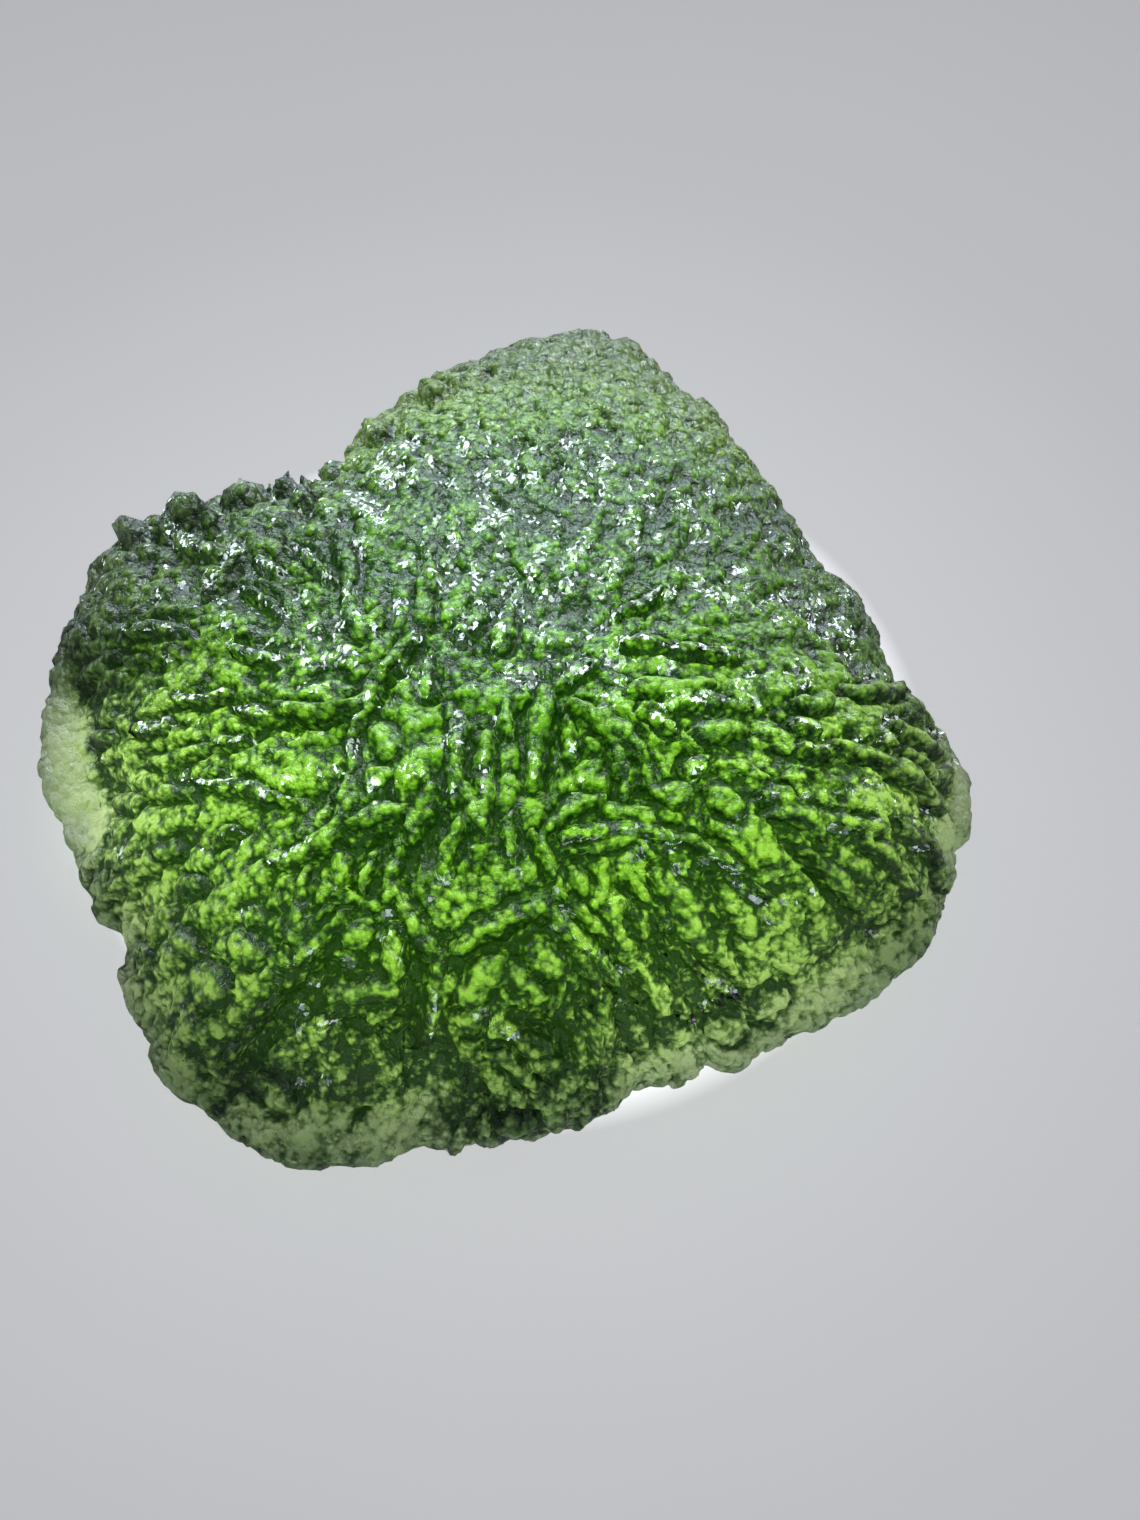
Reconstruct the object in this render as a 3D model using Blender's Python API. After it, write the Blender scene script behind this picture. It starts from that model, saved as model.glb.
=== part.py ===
"""Moldavite: one natural piece of bottle-green glass, domed, with a radial relief of lobes and grooves.

Metres, +Z up. The stone lies on a small worn flat on its underside. The origin is the middle of its
bounding box, at the bottom. +X is the stone's right as the photograph shows it, and +Y points away
from the viewer. Lengths below are in millimetres until the mesh is made.
"""

import math
import random

import bmesh
import bpy
import numpy as np
from mathutils import Vector
from mathutils.bvhtree import BVHTree

# ---------------------------------------------------------------- driving dimensions, mm
WIDTH = 32.0  # across the stone, left to right
HEIGHT = 10.6  # apex above the surface it lies on
RIM_Z = 2.5  # level of the widest line round the stone
SHOULDER_Z = 4.9  # where the dome turns down into the rim wall
FLAT_DIP = 0.30  # how far the belly would bulge below the worn flat
GRID = 29  # squares along each side of the quad sphere
MM = 0.001

# ---------------------------------------------------------------- the photograph's view
# Pixels of the 1140 x 1520 photograph; its middle is the lens axis.
ELEVATION = math.radians(56.0)
FOCAL_PX = 1520 * 55.0 / 36.0
DISTANCE = FOCAL_PX * WIDTH / 930.0
FORWARD = np.array([0.0, math.cos(ELEVATION), -math.sin(ELEVATION)])
UP = np.array([0.0, math.sin(ELEVATION), math.cos(ELEVATION)])
RIGHT = np.array([1.0, 0.0, 0.0])
EYE = (
    np.array([0.0, 0.0, 4.5])
    - RIGHT * ((505 - 570) / FOCAL_PX * DISTANCE)
    - UP * ((760 - 750) / FOCAL_PX * DISTANCE)
    - FORWARD * DISTANCE
)

# The stone's outline, clockwise from its far end.
OUTLINE_PX = [
    (560, 332), (590, 328), (615, 333), (640, 345), (665, 370), (690, 398),
    (715, 410), (735, 430), (745, 455), (760, 465), (770, 490), (785, 505),
    (800, 530), (820, 550), (835, 585), (850, 598), (865, 605), (880, 630),
    (892, 655), (905, 680), (915, 700), (925, 722), (942, 735), (957, 745),
    (967, 760), (972, 780), (973, 810), (970, 838), (957, 852), (952, 868),
    (954, 885), (945, 905), (938, 925), (930, 945), (905, 970), (880, 990),
    (850, 1012), (820, 1028), (790, 1040), (760, 1055), (728, 1077), (702, 1066),
    (690, 1083), (668, 1091), (655, 1086), (640, 1089), (622, 1100), (608, 1113),
    (585, 1127), (560, 1132), (535, 1138), (510, 1143), (490, 1149), (470, 1149),
    (454, 1155), (430, 1143), (405, 1150), (390, 1163), (360, 1165), (330, 1169),
    (300, 1170), (275, 1162), (250, 1149), (230, 1136), (205, 1115), (180, 1105),
    (165, 1090), (157, 1072), (152, 1050), (135, 1033), (125, 1010), (121, 985),
    (133, 960), (125, 942), (108, 932), (91, 922), (92, 902), (82, 885),
    (76, 862), (67, 845), (66, 825), (52, 810), (42, 790), (38, 765),
    (42, 735), (45, 710), (49, 680), (52, 655), (68, 632), (76, 605),
    (85, 575), (97, 560), (110, 553), (111, 540), (124, 522), (136, 512),
    (150, 519), (165, 513), (175, 502), (186, 498), (200, 505), (210, 515),
    (219, 503), (229, 494), (233, 481), (246, 480), (258, 487), (270, 486),
    (280, 473), (291, 484), (304, 490), (312, 479), (320, 465), (335, 450),
    (350, 435), (370, 420), (390, 405), (410, 390), (430, 375), (450, 365),
    (470, 360), (495, 349), (530, 339),
]
PATTERN_CENTRE_PX = (545, 680)  # the lobes fan out from here


# The broader lobes: width across in pixels, height in mm, and the crest's line.
LOBES = [
    # round the pattern's centre
    (26, 0.62, [(545, 672), (541, 710), (536, 750), (533, 786)]),
    (24, 0.55, [(487, 735), (484, 770), (486, 800)]),
    (24, 0.50, [(458, 818), (450, 845), (441, 882)]),
    (32, 0.50, [(470, 785), (478, 812), (483, 834)]),
    (25, 0.45, [(432, 785), (420, 815), (412, 838)]),
    (30, 0.30, [(383, 730), (390, 748)]),
    (27, 0.50, [(402, 808), (375, 815), (352, 828)]),
    (28, 0.45, [(338, 850), (348, 882)]),
    (26, 0.32, [(622, 768), (628, 776)]),
    (24, 0.35, [(497, 655), (505, 625), (508, 600)]),
    (26, 0.35, [(455, 640), (475, 620), (480, 600)]),
    # the long arc on the left of the centre
    (26, 0.62, [(432, 560), (422, 612), (408, 640), (390, 662), (372, 684), (357, 702), (330, 713), (305, 714), (280, 706)]),
    (26, 0.42, [(346, 598), (352, 620), (366, 629), (380, 612)]),
    # right of the centre
    (24, 0.42, [(576, 874), (582, 884)]),
    (36, 0.60, [(660, 872), (683, 905), (705, 948)]),
    (34, 0.45, [(722, 798), (730, 806)]),
    (24, 0.45, [(712, 880), (738, 912)]),
    (26, 0.38, [(672, 792), (684, 796)]),
    (30, 0.42, [(695, 730), (742, 730)]),
    (27, 0.45, [(632, 690), (672, 690), (708, 684)]),
    (26, 0.45, [(690, 770), (704, 762)]),
    # below the centre
    (27, 0.40, [(350, 937), (362, 930)]),
    (30, 0.50, [(392, 928), (396, 958), (400, 982)]),
    (24, 0.50, [(395, 880), (405, 905), (418, 930), (430, 950)]),
    (30, 0.55, [(545, 900), (510, 920), (480, 935), (452, 953)]),
    (24, 0.52, [(438, 955), (436, 985), (431, 1015), (430, 1048)]),
    (42, 0.55, [(500, 957), (485, 975), (466, 998)]),
    (24, 0.35, [(516, 972), (520, 982)]),
    (34, 0.50, [(322, 992), (360, 991), (402, 990)]),
    (26, 0.35, [(460, 1020), (470, 1022)]),
    (40, 0.40, [(268, 1086), (285, 1096)]),
    (34, 0.35, [(508, 1126), (524, 1128)]),
    # lower right
    (42, 0.45, [(540, 952), (552, 962)]),
    (24, 0.35, [(528, 985), (538, 992)]),
    (30, 0.38, [(528, 1044), (544, 1050)]),
    (28, 0.35, [(542, 1064), (556, 1068)]),
    (28, 0.40, [(634, 1024), (642, 1040)]),
    (26, 0.40, [(668, 1028), (682, 1036)]),
    (38, 0.42, [(714, 1026), (738, 1028)]),
    (38, 0.42, [(756, 1006), (776, 1000)]),
    (27, 0.35, [(642, 920), (650, 932)]),
    (30, 0.38, [(740, 914), (752, 926)]),
    # lower left
    (50, 0.45, [(196, 976), (216, 992)]),
    (28, 0.40, [(182, 942), (190, 950)]),
    (32, 0.42, [(240, 944), (252, 950)]),
    # left
    (24, 0.38, [(122, 802), (138, 804)]),
    # upper left
    (38, 0.95, [(182, 512), (190, 520)]),
    (34, 0.95, [(238, 494), (244, 502)]),
    (28, 0.80, [(132, 534), (140, 542)]),
    (24, 0.70, [(302, 500), (306, 506)]),
    (26, 0.60, [(328, 468), (334, 476)]),
    (26, 0.60, [(372, 430), (378, 438)]),
    (26, 0.60, [(430, 388), (436, 396)]),
    (24, 0.42, [(338, 540), (352, 570), (352, 600)]),
    # right
    (26, 0.45, [(940, 770), (962, 790), (964, 830)]),
    (24, 0.45, [(845, 692), (880, 690), (905, 692)]),
    (26, 0.42, [(795, 705), (830, 700)]),
    (26, 0.42, [(770, 812), (810, 818), (826, 836)]),
    (24, 0.45, [(800, 850), (835, 878), (862, 905)]),
    (24, 0.42, [(765, 795), (790, 800)]),
]

# Deep grooves: width across in pixels, depth in mm, and the floor's line.
GROOVES = [
    (30, 0.75, [(410, 945), (412, 1000), (406, 1050), (402, 1078)]),
    (44, 0.85, [(332, 962), (300, 1000), (270, 1030), (245, 1065), (235, 1100)]),
    (22, 0.55, [(545, 926), (500, 937), (468, 958)]),
    (26, 0.55, [(505, 1015), (530, 1022), (560, 1040), (572, 1070)]),
    (40, 0.60, [(440, 1060), (470, 1090), (490, 1110)]),
    (24, 0.55, [(330, 1030), (375, 1035), (400, 1060)]),
    (20, 0.40, [(360, 960), (350, 975)]),
]

# Wide shallow hollows: width across in pixels, depth in mm, and the floor's line.
HOLLOWS = [
    (70, 0.40, [(290, 1010), (300, 1050), (330, 1060), (385, 1040)]),
    (90, 0.45, [(430, 1040), (450, 1090), (450, 1125)]),
    (60, 0.40, [(540, 1025), (565, 1050), (560, 1085)]),
    (52, 0.38, [(605, 950), (625, 990), (635, 1030)]),
    (52, 0.38, [(665, 950), (705, 985), (735, 1000)]),
    (60, 0.38, [(675, 865), (715, 870), (760, 890), (790, 905)]),
    (50, 0.30, [(270, 880), (275, 930), (262, 960)]),
    (50, 0.32, [(330, 735), (335, 765), (325, 800)]),
    (56, 0.30, [(400, 640), (375, 665), (345, 690)]),
    (46, 0.35, [(610, 745), (640, 790)]),
    (70, 0.30, [(160, 540), (210, 580), (280, 600), (310, 640)]),
    (90, 0.30, [(450, 470), (520, 500), (600, 520), (690, 540)]),
    (80, 0.30, [(470, 560), (530, 600), (590, 610), (640, 600)]),
    (50, 0.30, [(790, 600), (840, 640), (860, 680)]),
    (46, 0.28, [(460, 660), (500, 680), (530, 660)]),
    (44, 0.30, [(370, 955), (355, 975), (330, 975)]),
    (44, 0.28, [(640, 740), (670, 760), (715, 770)]),
    (40, 0.28, [(735, 750), (790, 775), (840, 800)]),
]

# Where the rim is thin: direction from the apex and half width in degrees, and how far it stands out.
LIPS = [(174, 17, 0.62), (243, 20, 0.60), (313, 44, 0.45), (1, 16, 0.42)]

# The relief and the shoulder stand proud of the rim. This is by how many pixels, every 10 degrees
# round the stone's middle in the picture, counter-clockwise from the left.
PROUD = [
    20, 16, 15, 16, 13, 11, 11, 8, 5, 3, 4, 7, 12, 11, 14, 15, 16, 18,
    31, 18, 25, 19, 16, 13, 15, 15, 17, 14, 15, 17, 26, 33, 32, 15, 13, 17,
]


def ray(u, v):
    return FORWARD + RIGHT * ((u - 570) / FOCAL_PX) + UP * ((760 - v) / FOCAL_PX)


def on_level(u, v, z):
    """The plan point that pixel (u, v) shows at height z."""
    d = ray(u, v)
    return (EYE + d * ((z - EYE[2]) / d[2]))[:2]


# ---------------------------------------------------------------- the body's smooth form
APEX = on_level(*PATTERN_CENTRE_PX, HEIGHT)


def drawn_in(u, v):
    """The outline's pixel moved towards the stone's middle by the relief's own height there."""
    du, dv = u - 505, v - 745
    turn = (math.degrees(math.atan2(-dv, du)) + 175) / 10 % 36
    i = int(turn)
    proud = PROUD[i] + (turn - i) * (PROUD[(i + 1) % 36] - PROUD[i])
    k = 1 - proud / math.hypot(du, dv)
    return 505 + du * k, 745 + dv * k


# The rim shows a little lower at the near side than at the far side.
RIM = np.array([
    on_level(*drawn_in(u, v), RIM_Z + 1.1 * max(-1.0, min(1.0, (745 - v) / 380)))
    for u, v in OUTLINE_PX
])
BELLY = RIM.mean(axis=0)


def _outline_table():
    """Outline radius from the apex for 1440 even angles, as drawn and rounded off."""
    d = RIM - APEX
    angle = np.arctan2(d[:, 1], d[:, 0])
    order = np.argsort(angle)
    angle, radius = angle[order], np.hypot(d[:, 0], d[:, 1])[order]
    angle = np.concatenate([angle[-3:] - 2 * math.pi, angle, angle[:3] + 2 * math.pi])
    radius = np.concatenate([radius[-3:], radius, radius[:3]])
    even = np.linspace(-math.pi, math.pi, 1440, endpoint=False)
    drawn = np.interp(even, angle, radius)
    wave = np.fft.rfft(drawn)
    k = np.arange(len(wave))
    rounded = np.fft.irfft(wave * np.exp(-((k / 5.0) ** 2)), 1440)
    mild = np.fft.irfft(wave * np.exp(-((k / 16.0) ** 2)), 1440)
    return drawn, mild, rounded


DRAWN, MILD, ROUNDED = _outline_table()


def rim_at(theta, which):
    """Radius of one of the outline tables at each angle."""
    x = (theta + math.pi) / (2 * math.pi) * 1440
    i = np.floor(x).astype(int)
    f = x - i
    return which[i % 1440] * (1 - f) + which[(i + 1) % 1440] * f


def smoothstep(x, a, b):
    k = np.clip((x - a) / (b - a), 0, 1)
    return k * k * (3 - 2 * k)


def bspline(t, rows):
    """Clamped cubic B-spline through control rows (K arrays), at t from 0 to 1."""
    count = len(rows)
    knots = np.concatenate([[0.0] * 3, np.linspace(0, 1, count - 2), [1.0] * 3])
    t = np.clip(t, 0, 1 - 1e-9)
    basis = [
        np.where((t >= knots[i]) & (t < knots[i + 1]), 1.0, 0.0)
        for i in range(len(knots) - 1)
    ]
    for degree in (1, 2, 3):
        new = []
        for i in range(len(basis) - 1):
            a, b = knots[i + degree] - knots[i], knots[i + degree + 1] - knots[i + 1]
            left = (t - knots[i]) / a * basis[i] if a > 0 else 0.0
            right = (knots[i + degree + 1] - t) / b * basis[i + 1] if b > 0 else 0.0
            new.append(left + right)
        basis = new
    return sum(b * r for b, r in zip(basis, rows))


def lip_at(theta):
    """How far the rim stands out as a thin lip."""
    out = np.zeros_like(theta)
    for at, half, strength in LIPS:
        away = np.abs((np.degrees(theta) - at + 180) % 360 - 180)
        out = np.maximum(out, strength * (1 - smoothstep(away, 0.35 * half, half)))
    return out


def section(t, theta):
    """(share of the outline radius, height) down the body's side: apex at t = 0, belly at t = 1."""
    far = 0.5 + 0.5 * np.sin(theta)  # 1 at the far side
    left = 0.5 - 0.5 * np.cos(theta)
    inset = 0.045 - 0.015 * far + 0.05 * left * (1 - far)
    shoulder = SHOULDER_Z - 0.4 * left + 0.3 * far
    drop = HEIGHT - shoulder
    full = [
        (0.0, HEIGHT), (0.14, HEIGHT), (0.36, HEIGHT - 0.12 * drop),
        (0.62, HEIGHT - 0.34 * drop), (0.87 - inset, HEIGHT - 0.66 * drop),
        (1.02 - inset, shoulder), (1.02 - 0.5 * inset, shoulder - 1.4),
        (1.05, RIM_Z), (0.985, RIM_Z - 1.6), (0.80, 0.62),
        (0.58, 0.22), (0.36, -0.12), (0.15, -FLAT_DIP), (0.0, -FLAT_DIP),
    ]
    lipped = [
        (0.0, HEIGHT), (0.14, HEIGHT), (0.36, HEIGHT - 0.12 * drop),
        (0.60, HEIGHT - 0.36 * drop), (0.80 - inset, HEIGHT - 0.66 * drop),
        (0.91 - inset, shoulder), (0.90 - 0.5 * inset, RIM_Z + 0.35),
        (1.08, RIM_Z + 0.05), (1.05, RIM_Z - 1.15), (0.80, 0.75),
        (0.58, 0.22), (0.36, -0.12), (0.15, -FLAT_DIP), (0.0, -FLAT_DIP),
    ]
    lip = lip_at(theta)
    one = np.ones_like(theta)
    rows = [
        (a[0] * one + (b[0] - a[0]) * lip, a[1] * one + (b[1] - a[1]) * lip)
        for a, b in zip(full, lipped)
    ]
    return bspline(t, [r for r, _ in rows]), bspline(t, [z for _, z in rows])


def body_point(theta, t):
    """Points of the smooth body, N x 3."""
    share, z = section(t, theta)
    # the outline's small bites and corners fade out towards the apex and under the belly
    edge = smoothstep(t, 0.22, 0.38) * (1 - smoothstep(t, 0.66, 0.80))
    mid = smoothstep(t, 0.08, 0.34) * (1 - smoothstep(t, 0.72, 0.92))
    radius = rim_at(theta, ROUNDED)
    radius = radius * (1 - mid) + rim_at(theta, MILD) * mid
    radius = radius * (1 - edge) + rim_at(theta, DRAWN) * edge
    rim = APEX + np.stack([np.cos(theta), np.sin(theta)], 1) * radius[:, None]
    k = smoothstep(t, 0.5, 0.7)[:, None]
    centre = APEX * (1 - k) + BELLY * k
    return np.column_stack([centre + share[:, None] * (rim - centre), z])


def even_share(top_weight=1.0):
    """Table from a share of the sphere's area to t. The top gets more of the mesh with a larger weight."""
    t = np.linspace(0, 1, 400)
    share, z = section(t, np.full_like(t, 0.3))
    r = share * WIDTH * 0.54
    ds = np.hypot(np.diff(r), np.diff(z))
    weight = 1 + (top_weight - 1) * (1 - smoothstep((t[1:] + t[:-1]) / 2, 0.50, 0.72))
    area = np.concatenate([[0], np.cumsum(ds * (r[1:] + r[:-1]) / 2 * weight)])
    return t, area / area[-1]


def quad_sphere(grid):
    """A cube cut into a grid and blown up into an even sphere."""
    bm = bmesh.new()
    bmesh.ops.create_cube(bm, size=2.0)
    bmesh.ops.subdivide_edges(bm, edges=bm.edges[:], cuts=grid - 1, use_grid_fill=True)
    return bm


def blown_up(bm):
    p = np.array([v.co for v in bm.verts])
    x, y, z = p.T
    return np.column_stack([
        x * np.sqrt(1 - y * y / 2 - z * z / 2 + y * y * z * z / 3),
        y * np.sqrt(1 - z * z / 2 - x * x / 2 + z * z * x * x / 3),
        z * np.sqrt(1 - x * x / 2 - y * y / 2 + x * x * y * y / 3),
    ])


def smooth_body_tree():
    bm = quad_sphere(40)
    s = blown_up(bm)
    t_table, area = even_share()
    t = np.interp((1 - s[:, 2]) / 2, area, t_table)
    points = body_point(np.arctan2(s[:, 1], s[:, 0]), t)
    for v, p in zip(bm.verts, points):
        v.co = p
    bm.normal_update()
    tree = BVHTree.FromBMesh(bm)
    bm.free()
    return tree


def seen_on_body(tree, u, v):
    """The body point that a pixel shows, or the nearest one where it just misses."""
    d = ray(u, v)
    d = d / np.linalg.norm(d)
    hit = tree.ray_cast(Vector(EYE), Vector(d))
    if hit[0] is None:
        x, y = on_level(u, v, RIM_Z + 0.8)
        hit = tree.find_nearest(Vector((x, y, RIM_Z + 0.8)))
    return np.array(hit[0])


def px_to_mm(point):
    return np.dot(point - EYE, FORWARD) / FOCAL_PX


def resample(line, count=14):
    """The line rounded through its points, with even steps."""
    line = np.array(line, float)
    if len(line) > 2:
        pad = np.vstack([2 * line[0] - line[1], line, 2 * line[-1] - line[-2]])
        out = []
        for i in range(1, len(pad) - 2):
            p0, p1, p2, p3 = pad[i - 1 : i + 3]
            for s in np.linspace(0, 1, 8, endpoint=False):
                out.append(0.5 * ((2 * p1) + (p2 - p0) * s + (2 * p0 - 5 * p1 + 4 * p2 - p3) * s * s + (3 * p1 - p0 - 3 * p2 + p3) * s**3))
        out.append(line[-1])
        line = np.array(out)
    step = np.concatenate([[0], np.cumsum(np.hypot(*np.diff(line, axis=0).T))])
    s = np.linspace(0, step[-1], count)
    return np.column_stack([np.interp(s, step, line[:, 0]), np.interp(s, step, line[:, 1])])


# ---------------------------------------------------------------- the relief
def traced(tree, table):
    """Features drawn in the view: (points, half width, height) each, in mm."""
    out = []
    for width, height, line in table:
        length = sum(math.dist(a, b) for a, b in zip(line[:-1], line[1:]))
        count = max(2, min(16, int(length / 12) + 1))
        points = np.array([seen_on_body(tree, u, v) for u, v in resample(line, count)])
        out.append((points, 0.5 * width * px_to_mm(points.mean(0)), height))
    return out


def lobes(seed, taken):
    """Elongated lobes that fan out over the rest of the body: (points, half width, height) each, in mm."""
    rng = random.Random(seed)
    t_table, area = even_share()
    taken = np.vstack([line for line, _, _ in taken])
    kept, tries = [], 0
    while len(kept) < 420 and tries < 30000:
        tries += 1
        theta = rng.uniform(-math.pi, math.pi)
        t = float(np.interp(rng.random(), area, t_table))
        if t > 0.84:
            continue  # the worn belly
        length = rng.uniform(1.6, 4.0)
        half = rng.uniform(0.42, 0.80)
        th, tt = np.array([theta] * 3), np.array([t, t + 1e-3, t])
        th[2] += 1e-3
        p = body_point(th, tt)
        along, across = p[1] - p[0], p[2] - p[0]
        per_t = np.linalg.norm(along) / 1e-3
        along /= np.linalg.norm(along)
        across /= max(np.linalg.norm(across), 1e-9)
        if ((taken - p[0]) ** 2).sum(1).min() < 0.6:
            continue
        clear = True
        for q, ql, qh in kept:
            d = q - p[0]
            if abs(d[0]) > 5 or abs(d[1]) > 5:
                continue
            a, b = d @ along, d @ across
            c = d @ d - a * a - b * b
            if (a / (0.42 * (length + ql))) ** 2 + (b / (0.95 * (half + qh))) ** 2 + c > 1:
                continue
            clear = False
            break
        if not clear:
            continue
        kept.append((p[0], length, half))
        turn = rng.gauss(0, 0.30)
        bend = rng.gauss(0, 0.25)
        s = np.linspace(-0.5, 0.5, 5) * length
        radius = max(np.linalg.norm(p[0][:2] - APEX), 1.5)
        line = body_point(
            theta + (np.sin(turn) * s + bend * s * s / length) / radius,
            np.clip(t + np.cos(turn) * s / per_t, 0.01, 0.99),
        )
        yield line, half, rng.uniform(0.50, 0.80) * half


def relief(points, features, power=0.5):
    """How tall the tallest of the features is over each point, in mm."""
    high = np.zeros(len(points))
    for line, half, height in features:
        lo, hi = line.min(0) - half, line.max(0) + half
        near = np.flatnonzero(((points > lo) & (points < hi)).all(1))
        if not len(near):
            continue
        p = points[near]
        best = np.full(len(near), 1e9)
        for a, b in zip(line[:-1], line[1:]):
            ab = b - a
            s = np.clip(((p - a) @ ab) / max(ab @ ab, 1e-9), 0, 1)
            best = np.minimum(best, ((p - a - s[:, None] * ab) ** 2).sum(1))
        rise = height * np.clip(1 - best / half**2, 0, 1) ** power
        high[near] = np.maximum(high[near], rise)
    return high


# ---------------------------------------------------------------- making the mesh
def make_stone():
    tree = smooth_body_tree()
    main, grooves, hollows = traced(tree, LOBES), traced(tree, GROOVES), traced(tree, HOLLOWS)
    filling = list(lobes(7, main + grooves))
    bm = quad_sphere(GRID)
    on_sphere = blown_up(bm)
    t_table, area = even_share(1.5)
    theta = np.arctan2(on_sphere[:, 1], on_sphere[:, 0])
    t = np.interp((1 - on_sphere[:, 2]) / 2, area, t_table)
    points = body_point(theta, t)
    for v, p in zip(bm.verts, points):
        v.co = p
    bm.normal_update()
    normals = np.array([v.normal for v in bm.verts])

    # the relief, averaged over nearby points and neighbours so that it suits this mesh's spacing
    rng = np.random.default_rng(3)
    rise = np.zeros(len(points))
    for _ in range(12):
        at = points + rng.normal(0, 0.20, points.shape)
        lobe = np.maximum(relief(at, main), 0.85 * relief(at, filling))
        rise += lobe - 0.65 * relief(at, grooves, 1.0) - 0.6 * relief(at, hollows, 1.0)
    rise = np.clip(rise / 12 - 0.12, -0.50, 0.60)
    bm.verts.index_update()
    ends = np.array([[v.index for v in e.verts] for e in bm.edges])
    degree = np.bincount(ends.ravel(), minlength=len(points))
    around = np.bincount(ends[:, 0], rise[ends[:, 1]], len(points)) + np.bincount(ends[:, 1], rise[ends[:, 0]], len(points))
    rise = 0.6 * rise + 0.4 * around / degree
    worn = np.clip((0.80 - t) / 0.12, 0, 1)  # fades out on the belly
    wall = 1 - 0.40 * np.exp(-(((t - 0.55) / 0.06) ** 2))
    lip = 1 - 0.6 * lip_at(theta) * smoothstep(t, 0.43, 0.47)
    points = points + normals * (rise * worn * wall * lip)[:, None]

    for v, p in zip(bm.verts, points * MM):
        v.co = p
    # the worn flat that it lies on
    cut = bmesh.ops.bisect_plane(
        bm, geom=bm.verts[:] + bm.edges[:] + bm.faces[:], dist=1e-7,
        plane_co=(0, 0, 0), plane_no=(0, 0, -1), clear_outer=True,
    )
    edge = [e for e in cut["geom_cut"] if isinstance(e, bmesh.types.BMEdge)]
    bmesh.ops.edgeloop_fill(bm, edges=edge)
    bmesh.ops.triangulate(bm, faces=[f for f in bm.faces if len(f.verts) > 4])
    bmesh.ops.recalc_face_normals(bm, faces=bm.faces[:])

    # origin at the middle of the box, at the bottom
    lo = Vector((min(v.co[i] for v in bm.verts) for i in range(3)))
    hi = Vector((max(v.co[i] for v in bm.verts) for i in range(3)))
    shift = Vector((-(lo.x + hi.x) / 2, -(lo.y + hi.y) / 2, -lo.z))
    bmesh.ops.translate(bm, verts=bm.verts[:], vec=shift)
    mesh = bpy.data.meshes.new("moldavite")
    bm.to_mesh(mesh)
    bm.free()
    return mesh, shift, hi - lo


def moldavite_glass():
    """Bottle-green natural glass."""
    material = bpy.data.materials.new("moldavite_glass")
    material.use_nodes = True
    shader = material.node_tree.nodes["Principled BSDF"]
    shader.inputs["Base Color"].default_value = (0.16, 0.34, 0.05, 1.0)
    shader.inputs["Roughness"].default_value = 0.18
    shader.inputs["Metallic"].default_value = 0.0
    shader.inputs["Transmission Weight"].default_value = 0.85
    shader.inputs["IOR"].default_value = 1.49
    return material


def main():
    for obj in list(bpy.data.objects):
        bpy.data.objects.remove(obj, do_unlink=True)
    collection = bpy.data.collections.new("moldavite_stone")
    bpy.context.scene.collection.children.link(collection)
    mesh, shift, size = make_stone()
    mesh.materials.append(moldavite_glass())
    mesh.shade_smooth()
    stone = bpy.data.objects.new("moldavite", mesh)
    collection.objects.link(stone)
    print("shift mm", [round(x * 1000, 3) for x in shift], "size mm", [round(x * 1000, 2) for x in size])


main()
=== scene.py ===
"""A moldavite on a plain pale floor: one piece of see-through green glass with a sculpted surface.

The stone's form and relief are worked out in millimetres. Places on its surface are given as the
pixel where the 1140 x 1520 photograph shows them, and are carried onto the smooth body.
"""

import math
import random

import bmesh
import bpy
import numpy as np
from mathutils import Matrix, Vector, noise
from mathutils.bvhtree import BVHTree


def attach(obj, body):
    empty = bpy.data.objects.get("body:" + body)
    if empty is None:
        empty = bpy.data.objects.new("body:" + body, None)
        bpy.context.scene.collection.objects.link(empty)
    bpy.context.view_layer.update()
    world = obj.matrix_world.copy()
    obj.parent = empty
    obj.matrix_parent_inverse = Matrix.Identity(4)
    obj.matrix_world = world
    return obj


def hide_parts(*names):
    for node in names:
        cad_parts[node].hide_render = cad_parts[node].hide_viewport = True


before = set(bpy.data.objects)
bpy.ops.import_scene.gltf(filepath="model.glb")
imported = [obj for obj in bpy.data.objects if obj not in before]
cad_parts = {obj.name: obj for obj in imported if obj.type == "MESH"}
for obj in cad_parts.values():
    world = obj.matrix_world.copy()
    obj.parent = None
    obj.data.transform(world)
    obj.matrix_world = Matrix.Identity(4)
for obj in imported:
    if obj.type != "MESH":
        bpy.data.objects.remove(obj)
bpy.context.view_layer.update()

MM = 0.001
WIDTH = 32.0
HEIGHT = 10.6
RIM_Z = 2.5
SHOULDER_Z = 4.9
FLAT_DIP = 0.30
GRID = 128

# ---------------------------------------------------------------- the view
ELEVATION = math.radians(56.0)
LENS, SENSOR = 55.0, 36.0
FOCAL_PX = 1520 * LENS / SENSOR
DISTANCE = FOCAL_PX * WIDTH / 930.0
FORWARD = np.array([0.0, math.cos(ELEVATION), -math.sin(ELEVATION)])
UP = np.array([0.0, math.sin(ELEVATION), math.cos(ELEVATION)])
RIGHT = np.array([1.0, 0.0, 0.0])
EYE = (
    np.array([0.0, 0.0, 4.5])
    - RIGHT * ((505 - 570) / FOCAL_PX * DISTANCE)
    - UP * ((760 - 750) / FOCAL_PX * DISTANCE)
    - FORWARD * DISTANCE
)

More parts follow.
